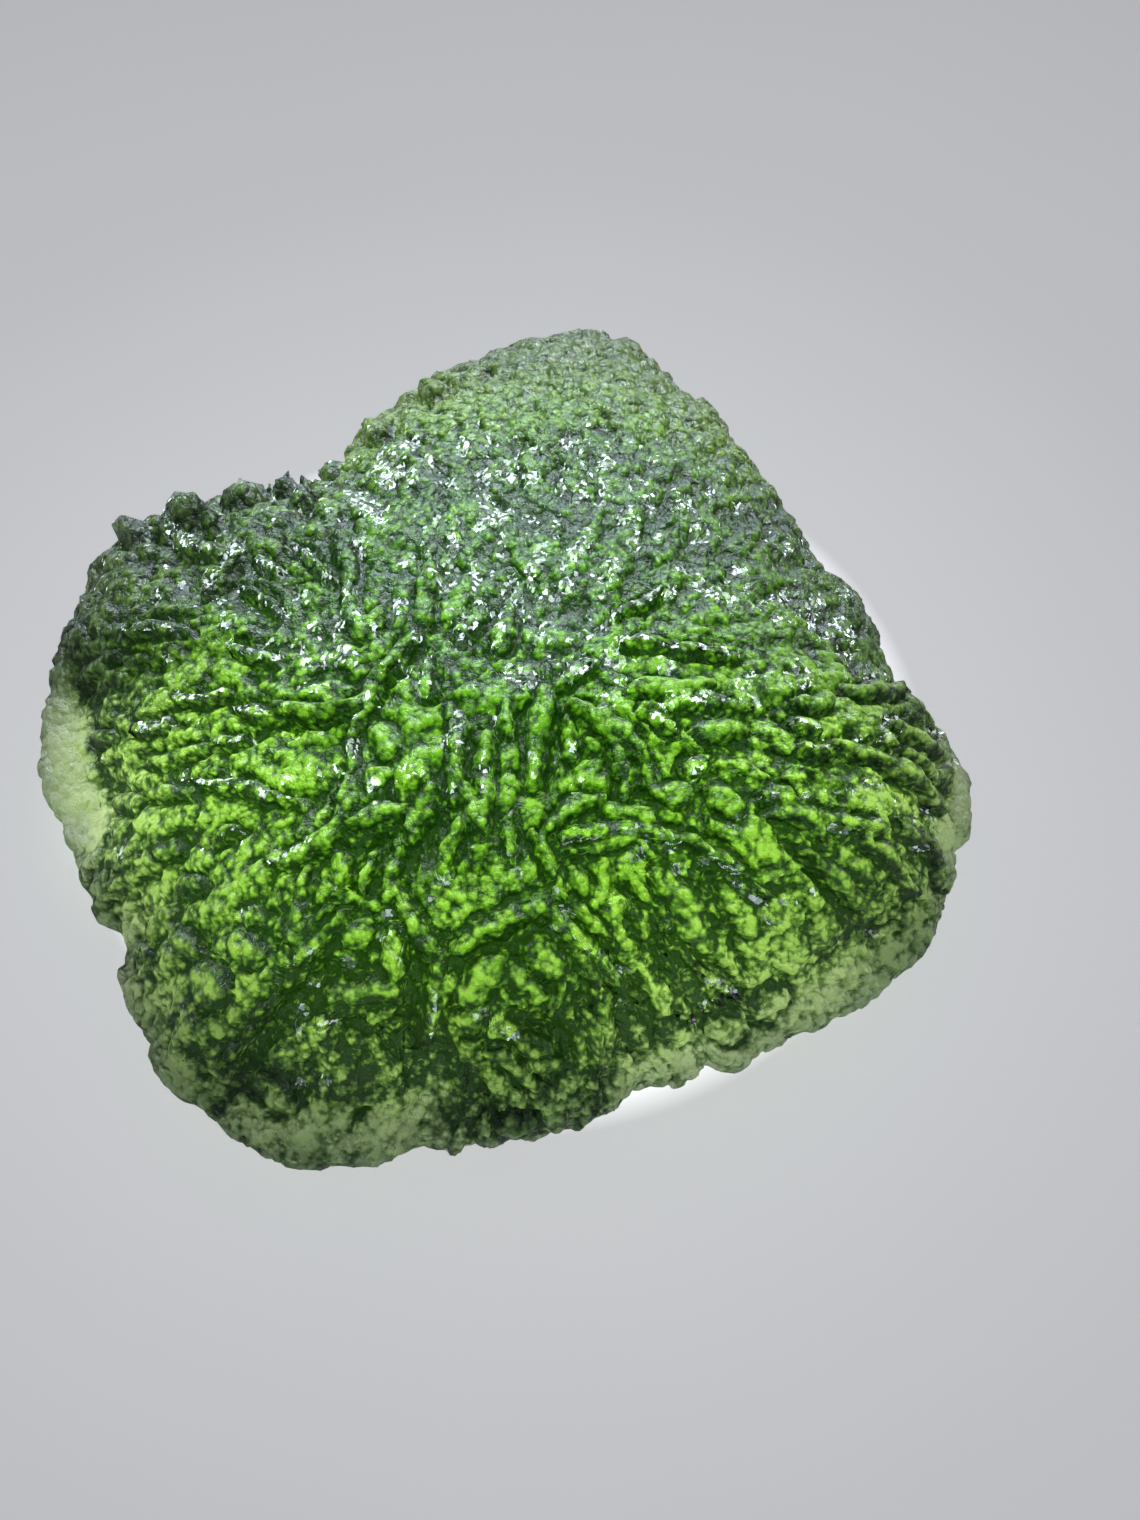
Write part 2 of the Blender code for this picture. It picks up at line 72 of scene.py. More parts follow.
# The stone's outline, clockwise from its far end.
OUTLINE_PX = [
    (560, 332), (590, 328), (615, 333), (640, 345), (665, 370), (690, 398),
    (715, 410), (735, 430), (745, 455), (760, 465), (770, 490), (785, 505),
    (800, 530), (820, 550), (835, 585), (850, 598), (865, 605), (880, 630),
    (892, 655), (905, 680), (915, 700), (925, 722), (942, 735), (957, 745),
    (967, 760), (972, 780), (973, 810), (970, 838), (957, 852), (952, 868),
    (954, 885), (945, 905), (938, 925), (930, 945), (905, 970), (880, 990),
    (850, 1012), (820, 1028), (790, 1040), (760, 1055), (728, 1077), (702, 1066),
    (690, 1083), (668, 1091), (655, 1086), (640, 1089), (622, 1100), (608, 1113),
    (585, 1127), (560, 1132), (535, 1138), (510, 1143), (490, 1149), (470, 1149),
    (454, 1155), (430, 1143), (405, 1150), (390, 1163), (360, 1165), (330, 1169),
    (300, 1170), (275, 1162), (250, 1149), (230, 1136), (205, 1115), (180, 1105),
    (165, 1090), (157, 1072), (152, 1050), (135, 1033), (125, 1010), (121, 985),
    (133, 960), (125, 942), (108, 932), (91, 922), (92, 902), (82, 885),
    (76, 862), (67, 845), (66, 825), (52, 810), (42, 790), (38, 765),
    (42, 735), (45, 710), (49, 680), (52, 655), (68, 632), (76, 605),
    (85, 575), (97, 560), (110, 553), (111, 540), (124, 522), (136, 512),
    (150, 519), (165, 513), (175, 502), (186, 498), (200, 505), (210, 515),
    (219, 503), (229, 494), (233, 481), (246, 480), (258, 487), (270, 486),
    (280, 473), (291, 484), (304, 490), (312, 479), (320, 465), (335, 450),
    (350, 435), (370, 420), (390, 405), (410, 390), (430, 375), (450, 365),
    (470, 360), (495, 349), (530, 339),
]
PATTERN_CENTRE_PX = (545, 680)  # the lobes fan out from here

# Lobes that can be told apart: width across in pixels, height in mm, and the crest's line.
LOBES = [
    # round the pattern's centre
    (26, 0.62, [(545, 672), (541, 710), (536, 750), (533, 786)]),
    (24, 0.55, [(487, 735), (484, 770), (486, 800)]),
    (24, 0.50, [(458, 818), (450, 845), (441, 882)]),
    (17, 0.40, [(510, 812), (508, 835), (516, 862)]),
    (22, 0.50, [(532, 832), (542, 850), (551, 878)]),
    (32, 0.50, [(470, 785), (478, 812), (483, 834)]),
    (25, 0.45, [(432, 785), (420, 815), (412, 838)]),
    (23, 0.45, [(450, 758), (455, 778), (450, 797)]),
    (30, 0.30, [(383, 730), (390, 748)]),
    (27, 0.50, [(402, 808), (375, 815), (352, 828)]),
    (20, 0.50, [(400, 840), (390, 870), (388, 903)]),
    (15, 0.38, [(375, 845), (368, 870), (365, 894)]),
    (28, 0.45, [(338, 850), (348, 882)]),
    (22, 0.30, [(588, 745), (594, 748)]),
    (26, 0.32, [(622, 768), (628, 776)]),
    (24, 0.35, [(497, 655), (505, 625), (508, 600)]),
    (26, 0.35, [(455, 640), (475, 620), (480, 600)]),
    (20, 0.35, [(455, 750), (458, 725), (452, 705)]),
    (18, 0.35, [(505, 700), (504, 720), (508, 738)]),
    (22, 0.35, [(566, 720), (569, 745), (572, 762)]),
    (20, 0.32, [(430, 700), (424, 680), (428, 660)]),
    # the long arc on the left of the centre
    (26, 0.62, [(432, 560), (422, 612), (408, 640), (390, 662), (372, 684), (357, 702), (330, 713), (305, 714), (280, 706)]),
    (22, 0.55, [(370, 704), (357, 728), (352, 757), (350, 787), (340, 822), (318, 848), (290, 858), (268, 860)]),
    (17, 0.42, [(343, 782), (326, 808), (312, 840)]),
    (16, 0.40, [(297, 800), (306, 820), (299, 840)]),
    (19, 0.42, [(312, 866), (303, 893), (293, 937)]),
    (26, 0.42, [(346, 598), (352, 620), (366, 629), (380, 612)]),
    # right of the centre
    (20, 0.55, [(567, 705), (597, 717), (613, 742), (623, 762), (624, 797)]),
    (22, 0.50, [(605, 708), (640, 755), (655, 790), (682, 806)]),
    (21, 0.45, [(540, 836), (562, 815), (585, 803), (604, 800)]),
    (18, 0.38, [(603, 813), (630, 811), (654, 821)]),
    (17, 0.55, [(558, 838), (590, 830), (620, 828), (655, 832), (690, 839), (715, 852), (737, 866), (757, 886), (770, 902)]),
    (16, 0.38, [(565, 852), (600, 847), (625, 840), (652, 854)]),
    (24, 0.42, [(576, 874), (582, 884)]),
    (36, 0.60, [(660, 872), (683, 905), (705, 948)]),
    (34, 0.45, [(722, 798), (730, 806)]),
    (24, 0.45, [(712, 880), (738, 912)]),
    (26, 0.38, [(672, 792), (684, 796)]),
    (30, 0.42, [(695, 730), (742, 730)]),
    (27, 0.45, [(632, 690), (672, 690), (708, 684)]),
    (17, 0.50, [(606, 618), (635, 602), (662, 590)]),
    (18, 0.50, [(618, 645), (650, 641), (692, 651), (742, 656)]),
    (18, 0.50, [(640, 713), (680, 703), (720, 700), (752, 711)]),
    (16, 0.40, [(655, 716), (678, 734)]),
    (26, 0.45, [(690, 770), (704, 762)]),
    (20, 0.40, [(598, 668), (575, 674), (560, 690)]),
    # below the centre
    (20, 0.48, [(347, 913), (325, 932), (305, 950), (285, 967)]),
    (14, 0.38, [(332, 901), (300, 935), (283, 947)]),
    (27, 0.40, [(350, 937), (362, 930)]),
    (30, 0.50, [(392, 928), (396, 958), (400, 982)]),
    (24, 0.50, [(395, 880), (405, 905), (418, 930), (430, 950)]),
    (30, 0.55, [(545, 900), (510, 920), (480, 935), (452, 953)]),
    (24, 0.52, [(438, 955), (436, 985), (431, 1015), (430, 1048)]),
    (16, 0.40, [(453, 975), (446, 1002)]),
    (42, 0.55, [(500, 957), (485, 975), (466, 998)]),
    (24, 0.35, [(516, 972), (520, 982)]),
    (34, 0.50, [(322, 992), (360, 991), (402, 990)]),
    (22, 0.30, [(392, 1032), (402, 1026)]),
    (26, 0.35, [(460, 1020), (470, 1022)]),
    (22, 0.42, [(487, 1050), (510, 1062), (532, 1088)]),
    (40, 0.40, [(268, 1086), (285, 1096)]),
    (34, 0.35, [(508, 1126), (524, 1128)]),
    # lower right
    (20, 0.45, [(548, 905), (567, 930), (595, 950), (615, 975), (629, 985)]),
    (17, 0.42, [(573, 903), (590, 920), (612, 940)]),
    (42, 0.45, [(540, 952), (552, 962)]),
    (17, 0.42, [(575, 955), (592, 968), (598, 1000)]),
    (16, 0.45, [(583, 998), (592, 1020), (598, 1045), (597, 1075), (595, 1112)]),
    (24, 0.35, [(528, 985), (538, 992)]),
    (16, 0.35, [(562, 980), (550, 1012)]),
    (30, 0.38, [(528, 1044), (544, 1050)]),
    (28, 0.35, [(542, 1064), (556, 1068)]),
    (28, 0.40, [(634, 1024), (642, 1040)]),
    (26, 0.40, [(668, 1028), (682, 1036)]),
    (38, 0.42, [(714, 1026), (738, 1028)]),
    (38, 0.42, [(756, 1006), (776, 1000)]),
    (20, 0.42, [(675, 963), (685, 1000), (692, 1027)]),
    (27, 0.35, [(642, 920), (650, 932)]),
    (30, 0.38, [(740, 914), (752, 926)]),
    (17, 0.45, [(698, 968), (737, 1000)]),
    (16, 0.42, [(600, 950), (620, 975), (642, 1002)]),
    (16, 0.42, [(670, 940), (695, 970), (722, 1002)]),
    # lower left
    (50, 0.45, [(196, 976), (216, 992)]),
    (28, 0.40, [(182, 942), (190, 950)]),
    (32, 0.42, [(240, 944), (252, 950)]),
    (16, 0.50, [(277, 991), (250, 1030), (225, 1062)]),
    (20, 0.32, [(278, 955), (284, 960)]),
    # left
    (17, 0.42, [(120, 655), (95, 670), (80, 692)]),
    (18, 0.35, [(130, 660), (142, 660)]),
    (18, 0.42, [(212, 744), (180, 757), (148, 765)]),
    (18, 0.42, [(197, 792), (172, 795), (146, 795)]),
    (17, 0.38, [(115, 735), (98, 740)]),
    (24, 0.38, [(122, 802), (138, 804)]),
    (18, 0.42, [(128, 632), (160, 628), (192, 632)]),
    (18, 0.42, [(228, 650), (250, 652), (272, 661)]),
    (17, 0.40, [(173, 700), (205, 698), (232, 691)]),
    (17, 0.40, [(133, 731), (155, 728), (172, 721)]),
    (18, 0.42, [(233, 708), (262, 712), (292, 713)]),
    (17, 0.40, [(213, 741), (235, 742), (252, 738)]),
    (17, 0.42, [(193, 782), (240, 786), (262, 794), (292, 801)]),
    (17, 0.40, [(213, 842), (228, 836), (242, 834)]),
    (22, 0.38, [(162, 850), (178, 850)]),
    (22, 0.38, [(182, 886), (198, 884)]),
    # upper left
    (38, 0.95, [(182, 512), (190, 520)]),
    (34, 0.95, [(238, 494), (244, 502)]),
    (28, 0.80, [(132, 534), (140, 542)]),
    (20, 0.80, [(279, 485), (284, 490)]),
    (22, 0.70, [(212, 522), (216, 528)]),
    (24, 0.70, [(302, 500), (306, 506)]),
    (22, 0.60, [(160, 528), (166, 533)]),
    (26, 0.60, [(328, 468), (334, 476)]),
    (26, 0.60, [(372, 430), (378, 438)]),
    (26, 0.60, [(430, 388), (436, 396)]),
    (18, 0.45, [(172, 532), (192, 544), (222, 556)]),
    (18, 0.45, [(240, 545), (225, 575), (203, 592)]),
    (16, 0.42, [(250, 560), (282, 572)]),
    (16, 0.42, [(240, 585), (262, 596), (282, 612)]),
    (11, 0.42, [(281, 536), (305, 555), (333, 586)]),
    (24, 0.42, [(338, 540), (352, 570), (352, 600)]),
    # right
    (20, 0.45, [(838, 740), (880, 758), (915, 780), (945, 812)]),
    (18, 0.42, [(885, 725), (915, 735), (950, 760)]),
    (20, 0.42, [(905, 752), (935, 775), (955, 800)]),
    (26, 0.45, [(940, 770), (962, 790), (964, 830)]),
    (24, 0.45, [(845, 692), (880, 690), (905, 692)]),
    (26, 0.42, [(795, 705), (830, 700)]),
    (20, 0.42, [(790, 722), (820, 730)]),
    (26, 0.42, [(770, 812), (810, 818), (826, 836)]),
    (18, 0.45, [(820, 820), (850, 822), (880, 828)]),
    (20, 0.42, [(795, 750), (835, 752)]),
    (24, 0.45, [(800, 850), (835, 878), (862, 905)]),
    (20, 0.42, [(860, 835), (890, 860), (912, 895)]),
    (24, 0.42, [(765, 795), (790, 800)]),
    (20, 0.40, [(900, 822), (930, 850), (938, 880)]),
]

# Deep grooves and hollows, also darkened with painted shade: width across in pixels, depth in mm, and the floor's
# line.
GROOVES = [
    (30, 0.75, [(410, 945), (412, 1000), (406, 1050), (402, 1078)]),
    (44, 0.85, [(332, 962), (300, 1000), (270, 1030), (245, 1065), (235, 1100)]),
    (22, 0.55, [(545, 926), (500, 937), (468, 958)]),
    (14, 0.50, [(407, 815), (400, 830), (380, 838), (365, 850), (358, 870), (360, 895)]),
    (16, 0.45, [(524, 700), (518, 745), (525, 790)]),
    (16, 0.50, [(556, 700), (558, 745), (548, 790)]),
    (14, 0.45, [(470, 735), (466, 765), (480, 800)]),
    (14, 0.40, [(447, 805), (434, 835), (428, 865)]),
    (26, 0.55, [(505, 1015), (530, 1022), (560, 1040), (572, 1070)]),
    (40, 0.60, [(440, 1060), (470, 1090), (490, 1110)]),
    (24, 0.55, [(330, 1030), (375, 1035), (400, 1060)]),
    (16, 0.45, [(700, 790), (705, 830), (722, 850)]),
    (16, 0.45, [(760, 690), (800, 735), (840, 760)]),
    (16, 0.50, [(780, 835), (810, 870), (842, 905), (870, 930)]),
    (16, 0.45, [(620, 880), (640, 905), (655, 940), (668, 985)]),
    (16, 0.45, [(715, 925), (735, 955), (750, 985)]),
    (12, 0.45, [(310, 780), (300, 790), (312, 800), (304, 840)]),
    (12, 0.40, [(275, 718), (310, 726), (345, 722)]),
    (20, 0.40, [(360, 960), (350, 975)]),
    (14, 0.45, [(420, 840), (410, 870), (408, 900)]),
]


# Wide shallow hollows, where the glass looks dark, and darkened further with painted shade: width across in pixels,
# depth in mm, and the floor's line.
HOLLOWS = [
    (70, 0.40, [(290, 1010), (300, 1050), (330, 1060), (385, 1040)]),
    (90, 0.45, [(430, 1040), (450, 1090), (450, 1125)]),
    (60, 0.40, [(540, 1025), (565, 1050), (560, 1085)]),
    (52, 0.38, [(605, 950), (625, 990), (635, 1030)]),
    (52, 0.38, [(665, 950), (705, 985), (735, 1000)]),
    (60, 0.38, [(675, 865), (715, 870), (760, 890), (790, 905)]),
    (50, 0.30, [(270, 880), (275, 930), (262, 960)]),
    (50, 0.32, [(330, 735), (335, 765), (325, 800)]),
    (56, 0.30, [(400, 640), (375, 665), (345, 690)]),
    (46, 0.35, [(610, 745), (640, 790)]),
    (70, 0.30, [(160, 540), (210, 580), (280, 600), (310, 640)]),
    (90, 0.30, [(450, 470), (520, 500), (600, 520), (690, 540)]),
    (80, 0.30, [(470, 560), (530, 600), (590, 610), (640, 600)]),
    (50, 0.30, [(790, 600), (840, 640), (860, 680)]),
    (46, 0.28, [(460, 660), (500, 680), (530, 660)]),
    (44, 0.30, [(370, 955), (355, 975), (330, 975)]),
    (44, 0.28, [(640, 740), (670, 760), (715, 770)]),
    (40, 0.28, [(735, 750), (790, 775), (840, 800)]),
]


# Patches of tiny clean facets that catch the light: middle and half sizes in pixels.
GLINTS = [
    (389, 467, 12, 14), (409, 476, 8, 8), (412, 446, 8, 8), (466, 446, 8, 7), (452, 482, 6, 10), (484, 472, 7, 7),
    (484, 494, 8, 7), (507, 472, 9, 8), (535, 452, 5, 5), (531, 479, 7, 6), (566, 469, 5, 5), (562, 487, 3, 9),
    (569, 445, 8, 6), (580, 491, 8, 8), (604, 486, 5, 5), (602, 502, 6, 5), (606, 464, 8, 7), (632, 487, 4, 4),
    (650, 500, 8, 6), (627, 515, 8, 7), (637, 532, 6, 6), (659, 536, 4, 4), (690, 506, 9, 8), (676, 512, 4, 4),
    (701, 532, 9, 9), (710, 491, 5, 5), (490, 507, 10, 5), (506, 512, 6, 7), (479, 525, 8, 6), (497, 521, 6, 5),
    (530, 514, 9, 5), (532, 531, 8, 5), (556, 520, 4, 7), (587, 531, 5, 5), (541, 546, 5, 5), (556, 541, 4, 4),
    (582, 549, 8, 7), (461, 519, 5, 5), (442, 520, 7, 5), (430, 530, 7, 5), (425, 545, 3, 6), (454, 542, 6, 10),
    (406, 562, 9, 11), (430, 564, 6, 5), (447, 565, 9, 5), (446, 584, 9, 6), (476, 575, 6, 15), (502, 540, 4, 6),
    (502, 552, 5, 5), (494, 572, 3, 3), (510, 585, 8, 11), (531, 576, 6, 9), (540, 560, 8, 7), (570, 565, 8, 14),
    (566, 584, 10, 6), (554, 595, 8, 4), (545, 591, 3, 3), (600, 577, 8, 8), (614, 566, 8, 11), (601, 592, 5, 5),
    (519, 602, 4, 8), (532, 612, 4, 9), (550, 626, 7, 7), (464, 628, 13, 6), (470, 635, 9, 7), (455, 645, 10, 4),
    (460, 612, 6, 3), (484, 606, 7, 4), (540, 640, 8, 7), (554, 654, 9, 5), (571, 646, 8, 5), (584, 635, 11, 7),
    (587, 615, 5, 5), (667, 667, 9, 6), (707, 650, 8, 5), (612, 700, 12, 9), (662, 717, 13, 7), (677, 730, 6, 5),
    (425, 665, 6, 10), (426, 689, 10, 8), (457, 717, 7, 9), (399, 606, 6, 8), (399, 675, 5, 5), (385, 672, 6, 6),
    (417, 641, 4, 4), (474, 687, 4, 4), (566, 690, 4, 5), (487, 712, 8, 4), (177, 581, 6, 5), (214, 597, 9, 5),
    (152, 594, 7, 5), (195, 604, 4, 4), (262, 566, 11, 8), (277, 571, 8, 5), (299, 592, 8, 7), (260, 605, 9, 5),
    (280, 610, 8, 5), (326, 581, 7, 5), (229, 622, 11, 8), (181, 630, 9, 5), (275, 641, 10, 5), (295, 644, 6, 6),
    (310, 626, 7, 6), (337, 625, 7, 12), (349, 594, 5, 8), (171, 660, 7, 4), (195, 721, 10, 4), (287, 711, 6, 4),
    (292, 730, 12, 10), (322, 731, 6, 5), (355, 497, 8, 9), (370, 512, 8, 7), (381, 525, 7, 6), (360, 545, 6, 6),
    (371, 701, 8, 5), (355, 722, 5, 5), (405, 665, 6, 5), (637, 535, 8, 7), (725, 599, 5, 4), (737, 574, 9, 6),
    (745, 592, 5, 5), (732, 602, 5, 11), (745, 567, 4, 4), (775, 622, 5, 4), (789, 622, 5, 5), (797, 632, 3, 3),
    (804, 610, 6, 8), (819, 607, 8, 11), (817, 627, 8, 6), (827, 635, 9, 8), (839, 622, 6, 8), (849, 636, 6, 6),
    (785, 550, 6, 5), (845, 595, 8, 5), (847, 652, 11, 7), (682, 652, 9, 6), (732, 655, 8, 6), (795, 670, 10, 7),
    (782, 684, 4, 4), (805, 690, 8, 6), (810, 677, 4, 4), (849, 679, 6, 5), (875, 679, 8, 7), (742, 682, 7, 6),
    (720, 687, 5, 4), (750, 702, 10, 9), (785, 720, 5, 4), (887, 717, 13, 6), (885, 735, 11, 8), (862, 740, 8, 5),
    (801, 750, 6, 4), (700, 770, 13, 13), (672, 760, 4, 4), (740, 779, 7, 5), (804, 764, 5, 4), (811, 792, 7, 5),
    (840, 790, 10, 5), (875, 784, 7, 4), (937, 732, 6, 5), (954, 761, 8, 7), (742, 815, 7, 4), (800, 806, 5, 3),
    (732, 829, 9, 6), (660, 835, 8, 5), (645, 847, 5, 8), (672, 847, 7, 6), (680, 870, 9, 5), (710, 860, 7, 7),
    (742, 887, 6, 4), (770, 920, 6, 4), (780, 877, 7, 5), (790, 902, 9, 5), (812, 890, 4, 4), (840, 938, 4, 4),
    (875, 935, 6, 4), (707, 1006, 5, 6), (922, 850, 6, 4), (925, 817, 8, 5), (897, 800, 5, 4), (457, 746, 9, 6),
    (417, 772, 9, 8), (400, 790, 9, 7), (384, 800, 5, 5), (452, 790, 5, 5), (485, 795, 6, 4), (555, 752, 4, 9),
    (571, 750, 5, 8), (580, 785, 9, 7), (671, 760, 4, 4), (480, 840, 8, 7), (442, 877, 9, 8), (512, 850, 5, 9),
    (515, 872, 7, 5), (635, 857, 9, 9), (622, 865, 5, 4), (555, 892, 4, 8), (565, 915, 9, 8), (555, 926, 6, 4),
    (625, 976, 10, 4), (615, 900, 6, 4), (635, 902, 5, 4), (670, 925, 3, 10), (480, 1012, 6, 6), (385, 915, 6, 6),
    (395, 932, 8, 4), (627, 1010, 4, 4), (430, 895, 4, 4), (97, 760, 8, 7), (170, 767, 6, 3), (182, 775, 5, 4),
    (232, 772, 8, 3), (252, 786, 6, 5), (270, 795, 6, 6), (289, 785, 7, 8), (287, 800, 8, 6), (315, 770, 6, 6),
    (335, 766, 7, 7), (355, 752, 4, 11), (235, 837, 12, 7), (211, 850, 5, 4), (256, 835, 4, 4), (122, 855, 8, 6),
    (282, 865, 11, 5), (270, 862, 5, 4), (271, 875, 5, 6), (311, 840, 5, 4), (375, 790, 7, 14), (395, 787, 5, 5),
    (330, 887, 4, 4), (379, 935, 5, 9), (297, 1027, 8, 13), (307, 990, 5, 4), (327, 1027, 9, 8), (345, 965, 6, 7),
    (323, 1085, 8, 6), (300, 1085, 5, 4), (580, 1108, 5, 3),
]
# Longer ones along ridges: two ends and half width.
GLINT_LINES = [
    (608, 620, 672, 590, 6), (683, 568, 717, 598, 6), (505, 612, 496, 650, 5), (620, 643, 670, 655, 7),
    (675, 652, 700, 657, 5), (568, 676, 616, 657, 11), (620, 680, 636, 690, 5), (512, 672, 535, 680, 8),
    (660, 705, 722, 697, 6), (172, 533, 210, 552, 5), (238, 548, 205, 580, 6), (240, 583, 255, 603, 6),
    (282, 537, 325, 578, 3), (130, 628, 155, 633, 5), (232, 650, 270, 655, 8), (308, 663, 352, 655, 7),
    (357, 618, 375, 632, 5), (175, 698, 195, 700, 5), (203, 694, 225, 692, 5), (292, 688, 325, 692, 5),
    (136, 732, 170, 722, 5), (235, 708, 270, 714, 4), (215, 740, 255, 738, 5), (330, 512, 345, 520, 4),
    (755, 608, 795, 590, 5), (700, 652, 735, 652, 5), (752, 672, 775, 677, 4), (793, 725, 825, 735, 5),
    (815, 748, 833, 753, 4), (762, 798, 785, 800, 5), (835, 825, 882, 818, 7), (727, 862, 740, 872, 4),
    (752, 895, 767, 908, 5), (706, 976, 732, 992, 5), (530, 758, 535, 780, 3), (565, 838, 600, 832, 5),
    (600, 830, 630, 830, 5), (572, 932, 590, 950, 4), (600, 952, 612, 968, 3), (492, 1022, 515, 1035, 5),
    (200, 782, 245, 788, 6), (270, 852, 305, 850, 4), (223, 912, 258, 910, 4), (432, 985, 430, 1040, 2),
    (440, 745, 452, 720, 3), (487, 760, 484, 790, 3), (402, 945, 400, 975, 2), (318, 945, 290, 965, 2),
]

# Where the rim is thin: direction from the apex and half width in degrees, how far it stands out, how much paler it
# is painted.
LIPS = [(174, 17, 0.62, 1.0), (243, 20, 0.60, 0.42), (313, 44, 0.45, 0.45), (1, 16, 0.42, 0.75), (210, 28, 0.0, 0.42)]

# The relief and the shoulder stand proud of the rim. This is by how many pixels, every 10 degrees
# round the stone's middle in the picture, counter-clockwise from the left.
PROUD = [
    20, 16, 15, 16, 13, 11, 11, 8, 5, 3, 4, 7, 12, 11, 14, 15, 16, 18,
    31, 18, 25, 19, 16, 13, 15, 15, 17, 14, 15, 17, 26, 33, 32, 15, 13, 17,
]


# Painted light and shade, where the surface is made lighter or darker: plan place, sizes in mm, and by how much.
PAINTED_TONES = [
    (0.7, -4.2, 5.0, 3.5, 0.12), (6.0, -4.0, 4.0, 4.0, 0.07),
    (-11.7, 3.6, 4.5, 5.0, -0.08), (-1.5, -12.5, 6.0, 3.0, -0.06),
    (-13.0, 8.4, 4.4, 3.8, 0.50), (12.4, 4.4, 2.6, 5.0, 0.30),
]


def ray(u, v):
    return FORWARD + RIGHT * ((u - 570) / FOCAL_PX) + UP * ((760 - v) / FOCAL_PX)


def on_level(u, v, z):
    """The plan point that pixel (u, v) shows at height z."""
    d = ray(u, v)
    return (EYE + d * ((z - EYE[2]) / d[2]))[:2]


# ---------------------------------------------------------------- the body's smooth form
APEX = on_level(*PATTERN_CENTRE_PX, HEIGHT)


def drawn_in(u, v):
    """The outline's pixel moved towards the stone's middle by the relief's own height there."""
    du, dv = u - 505, v - 745
    turn = (math.degrees(math.atan2(-dv, du)) + 175) / 10 % 36
    i = int(turn)
    proud = PROUD[i] + (turn - i) * (PROUD[(i + 1) % 36] - PROUD[i])
    k = 1 - proud / math.hypot(du, dv)
    return 505 + du * k, 745 + dv * k


# The rim shows a little lower at the near side than at the far side.
RIM = np.array([
    on_level(*drawn_in(u, v), RIM_Z + 1.1 * max(-1.0, min(1.0, (745 - v) / 380)))
    for u, v in OUTLINE_PX
])
BELLY = RIM.mean(axis=0)


def _outline_table():
    """Outline radius from the apex for 1440 even angles, as drawn and rounded off."""
    d = RIM - APEX
    angle = np.arctan2(d[:, 1], d[:, 0])
    order = np.argsort(angle)
    angle, radius = angle[order], np.hypot(d[:, 0], d[:, 1])[order]
    angle = np.concatenate([angle[-3:] - 2 * math.pi, angle, angle[:3] + 2 * math.pi])
    radius = np.concatenate([radius[-3:], radius, radius[:3]])
    even = np.linspace(-math.pi, math.pi, 1440, endpoint=False)
    drawn = np.interp(even, angle, radius)
    wave = np.fft.rfft(drawn)
    k = np.arange(len(wave))
    rounded = np.fft.irfft(wave * np.exp(-((k / 5.0) ** 2)), 1440)
    mild = np.fft.irfft(wave * np.exp(-((k / 16.0) ** 2)), 1440)
    return drawn, mild, rounded


DRAWN, MILD, ROUNDED = _outline_table()


def rim_at(theta, which):
    """Radius of one of the outline tables at each angle."""
    x = (theta + math.pi) / (2 * math.pi) * 1440
    i = np.floor(x).astype(int)
    f = x - i
    return which[i % 1440] * (1 - f) + which[(i + 1) % 1440] * f


def smoothstep(x, a, b):
    k = np.clip((x - a) / (b - a), 0, 1)
    return k * k * (3 - 2 * k)


def bspline(t, rows):
    """Clamped cubic B-spline through control rows (K arrays), at t from 0 to 1."""
    count = len(rows)
    knots = np.concatenate([[0.0] * 3, np.linspace(0, 1, count - 2), [1.0] * 3])
    t = np.clip(t, 0, 1 - 1e-9)
    basis = [
        np.where((t >= knots[i]) & (t < knots[i + 1]), 1.0, 0.0)
        for i in range(len(knots) - 1)
    ]
    for degree in (1, 2, 3):
        new = []
        for i in range(len(basis) - 1):
            a, b = knots[i + degree] - knots[i], knots[i + degree + 1] - knots[i + 1]
            left = (t - knots[i]) / a * basis[i] if a > 0 else 0.0
            right = (knots[i + degree + 1] - t) / b * basis[i + 1] if b > 0 else 0.0
            new.append(left + right)
        basis = new
    return sum(b * r for b, r in zip(basis, rows))


def lip_at(theta, which=2):
    """How far the rim stands out as a thin lip, or with which=3 how much paler the lip is painted."""
    out = np.zeros_like(theta)
    for lip in LIPS:
        away = np.abs((np.degrees(theta) - lip[0] + 180) % 360 - 180)
        out = np.maximum(out, lip[which] * (1 - smoothstep(away, 0.35 * lip[1], lip[1])))
    return out


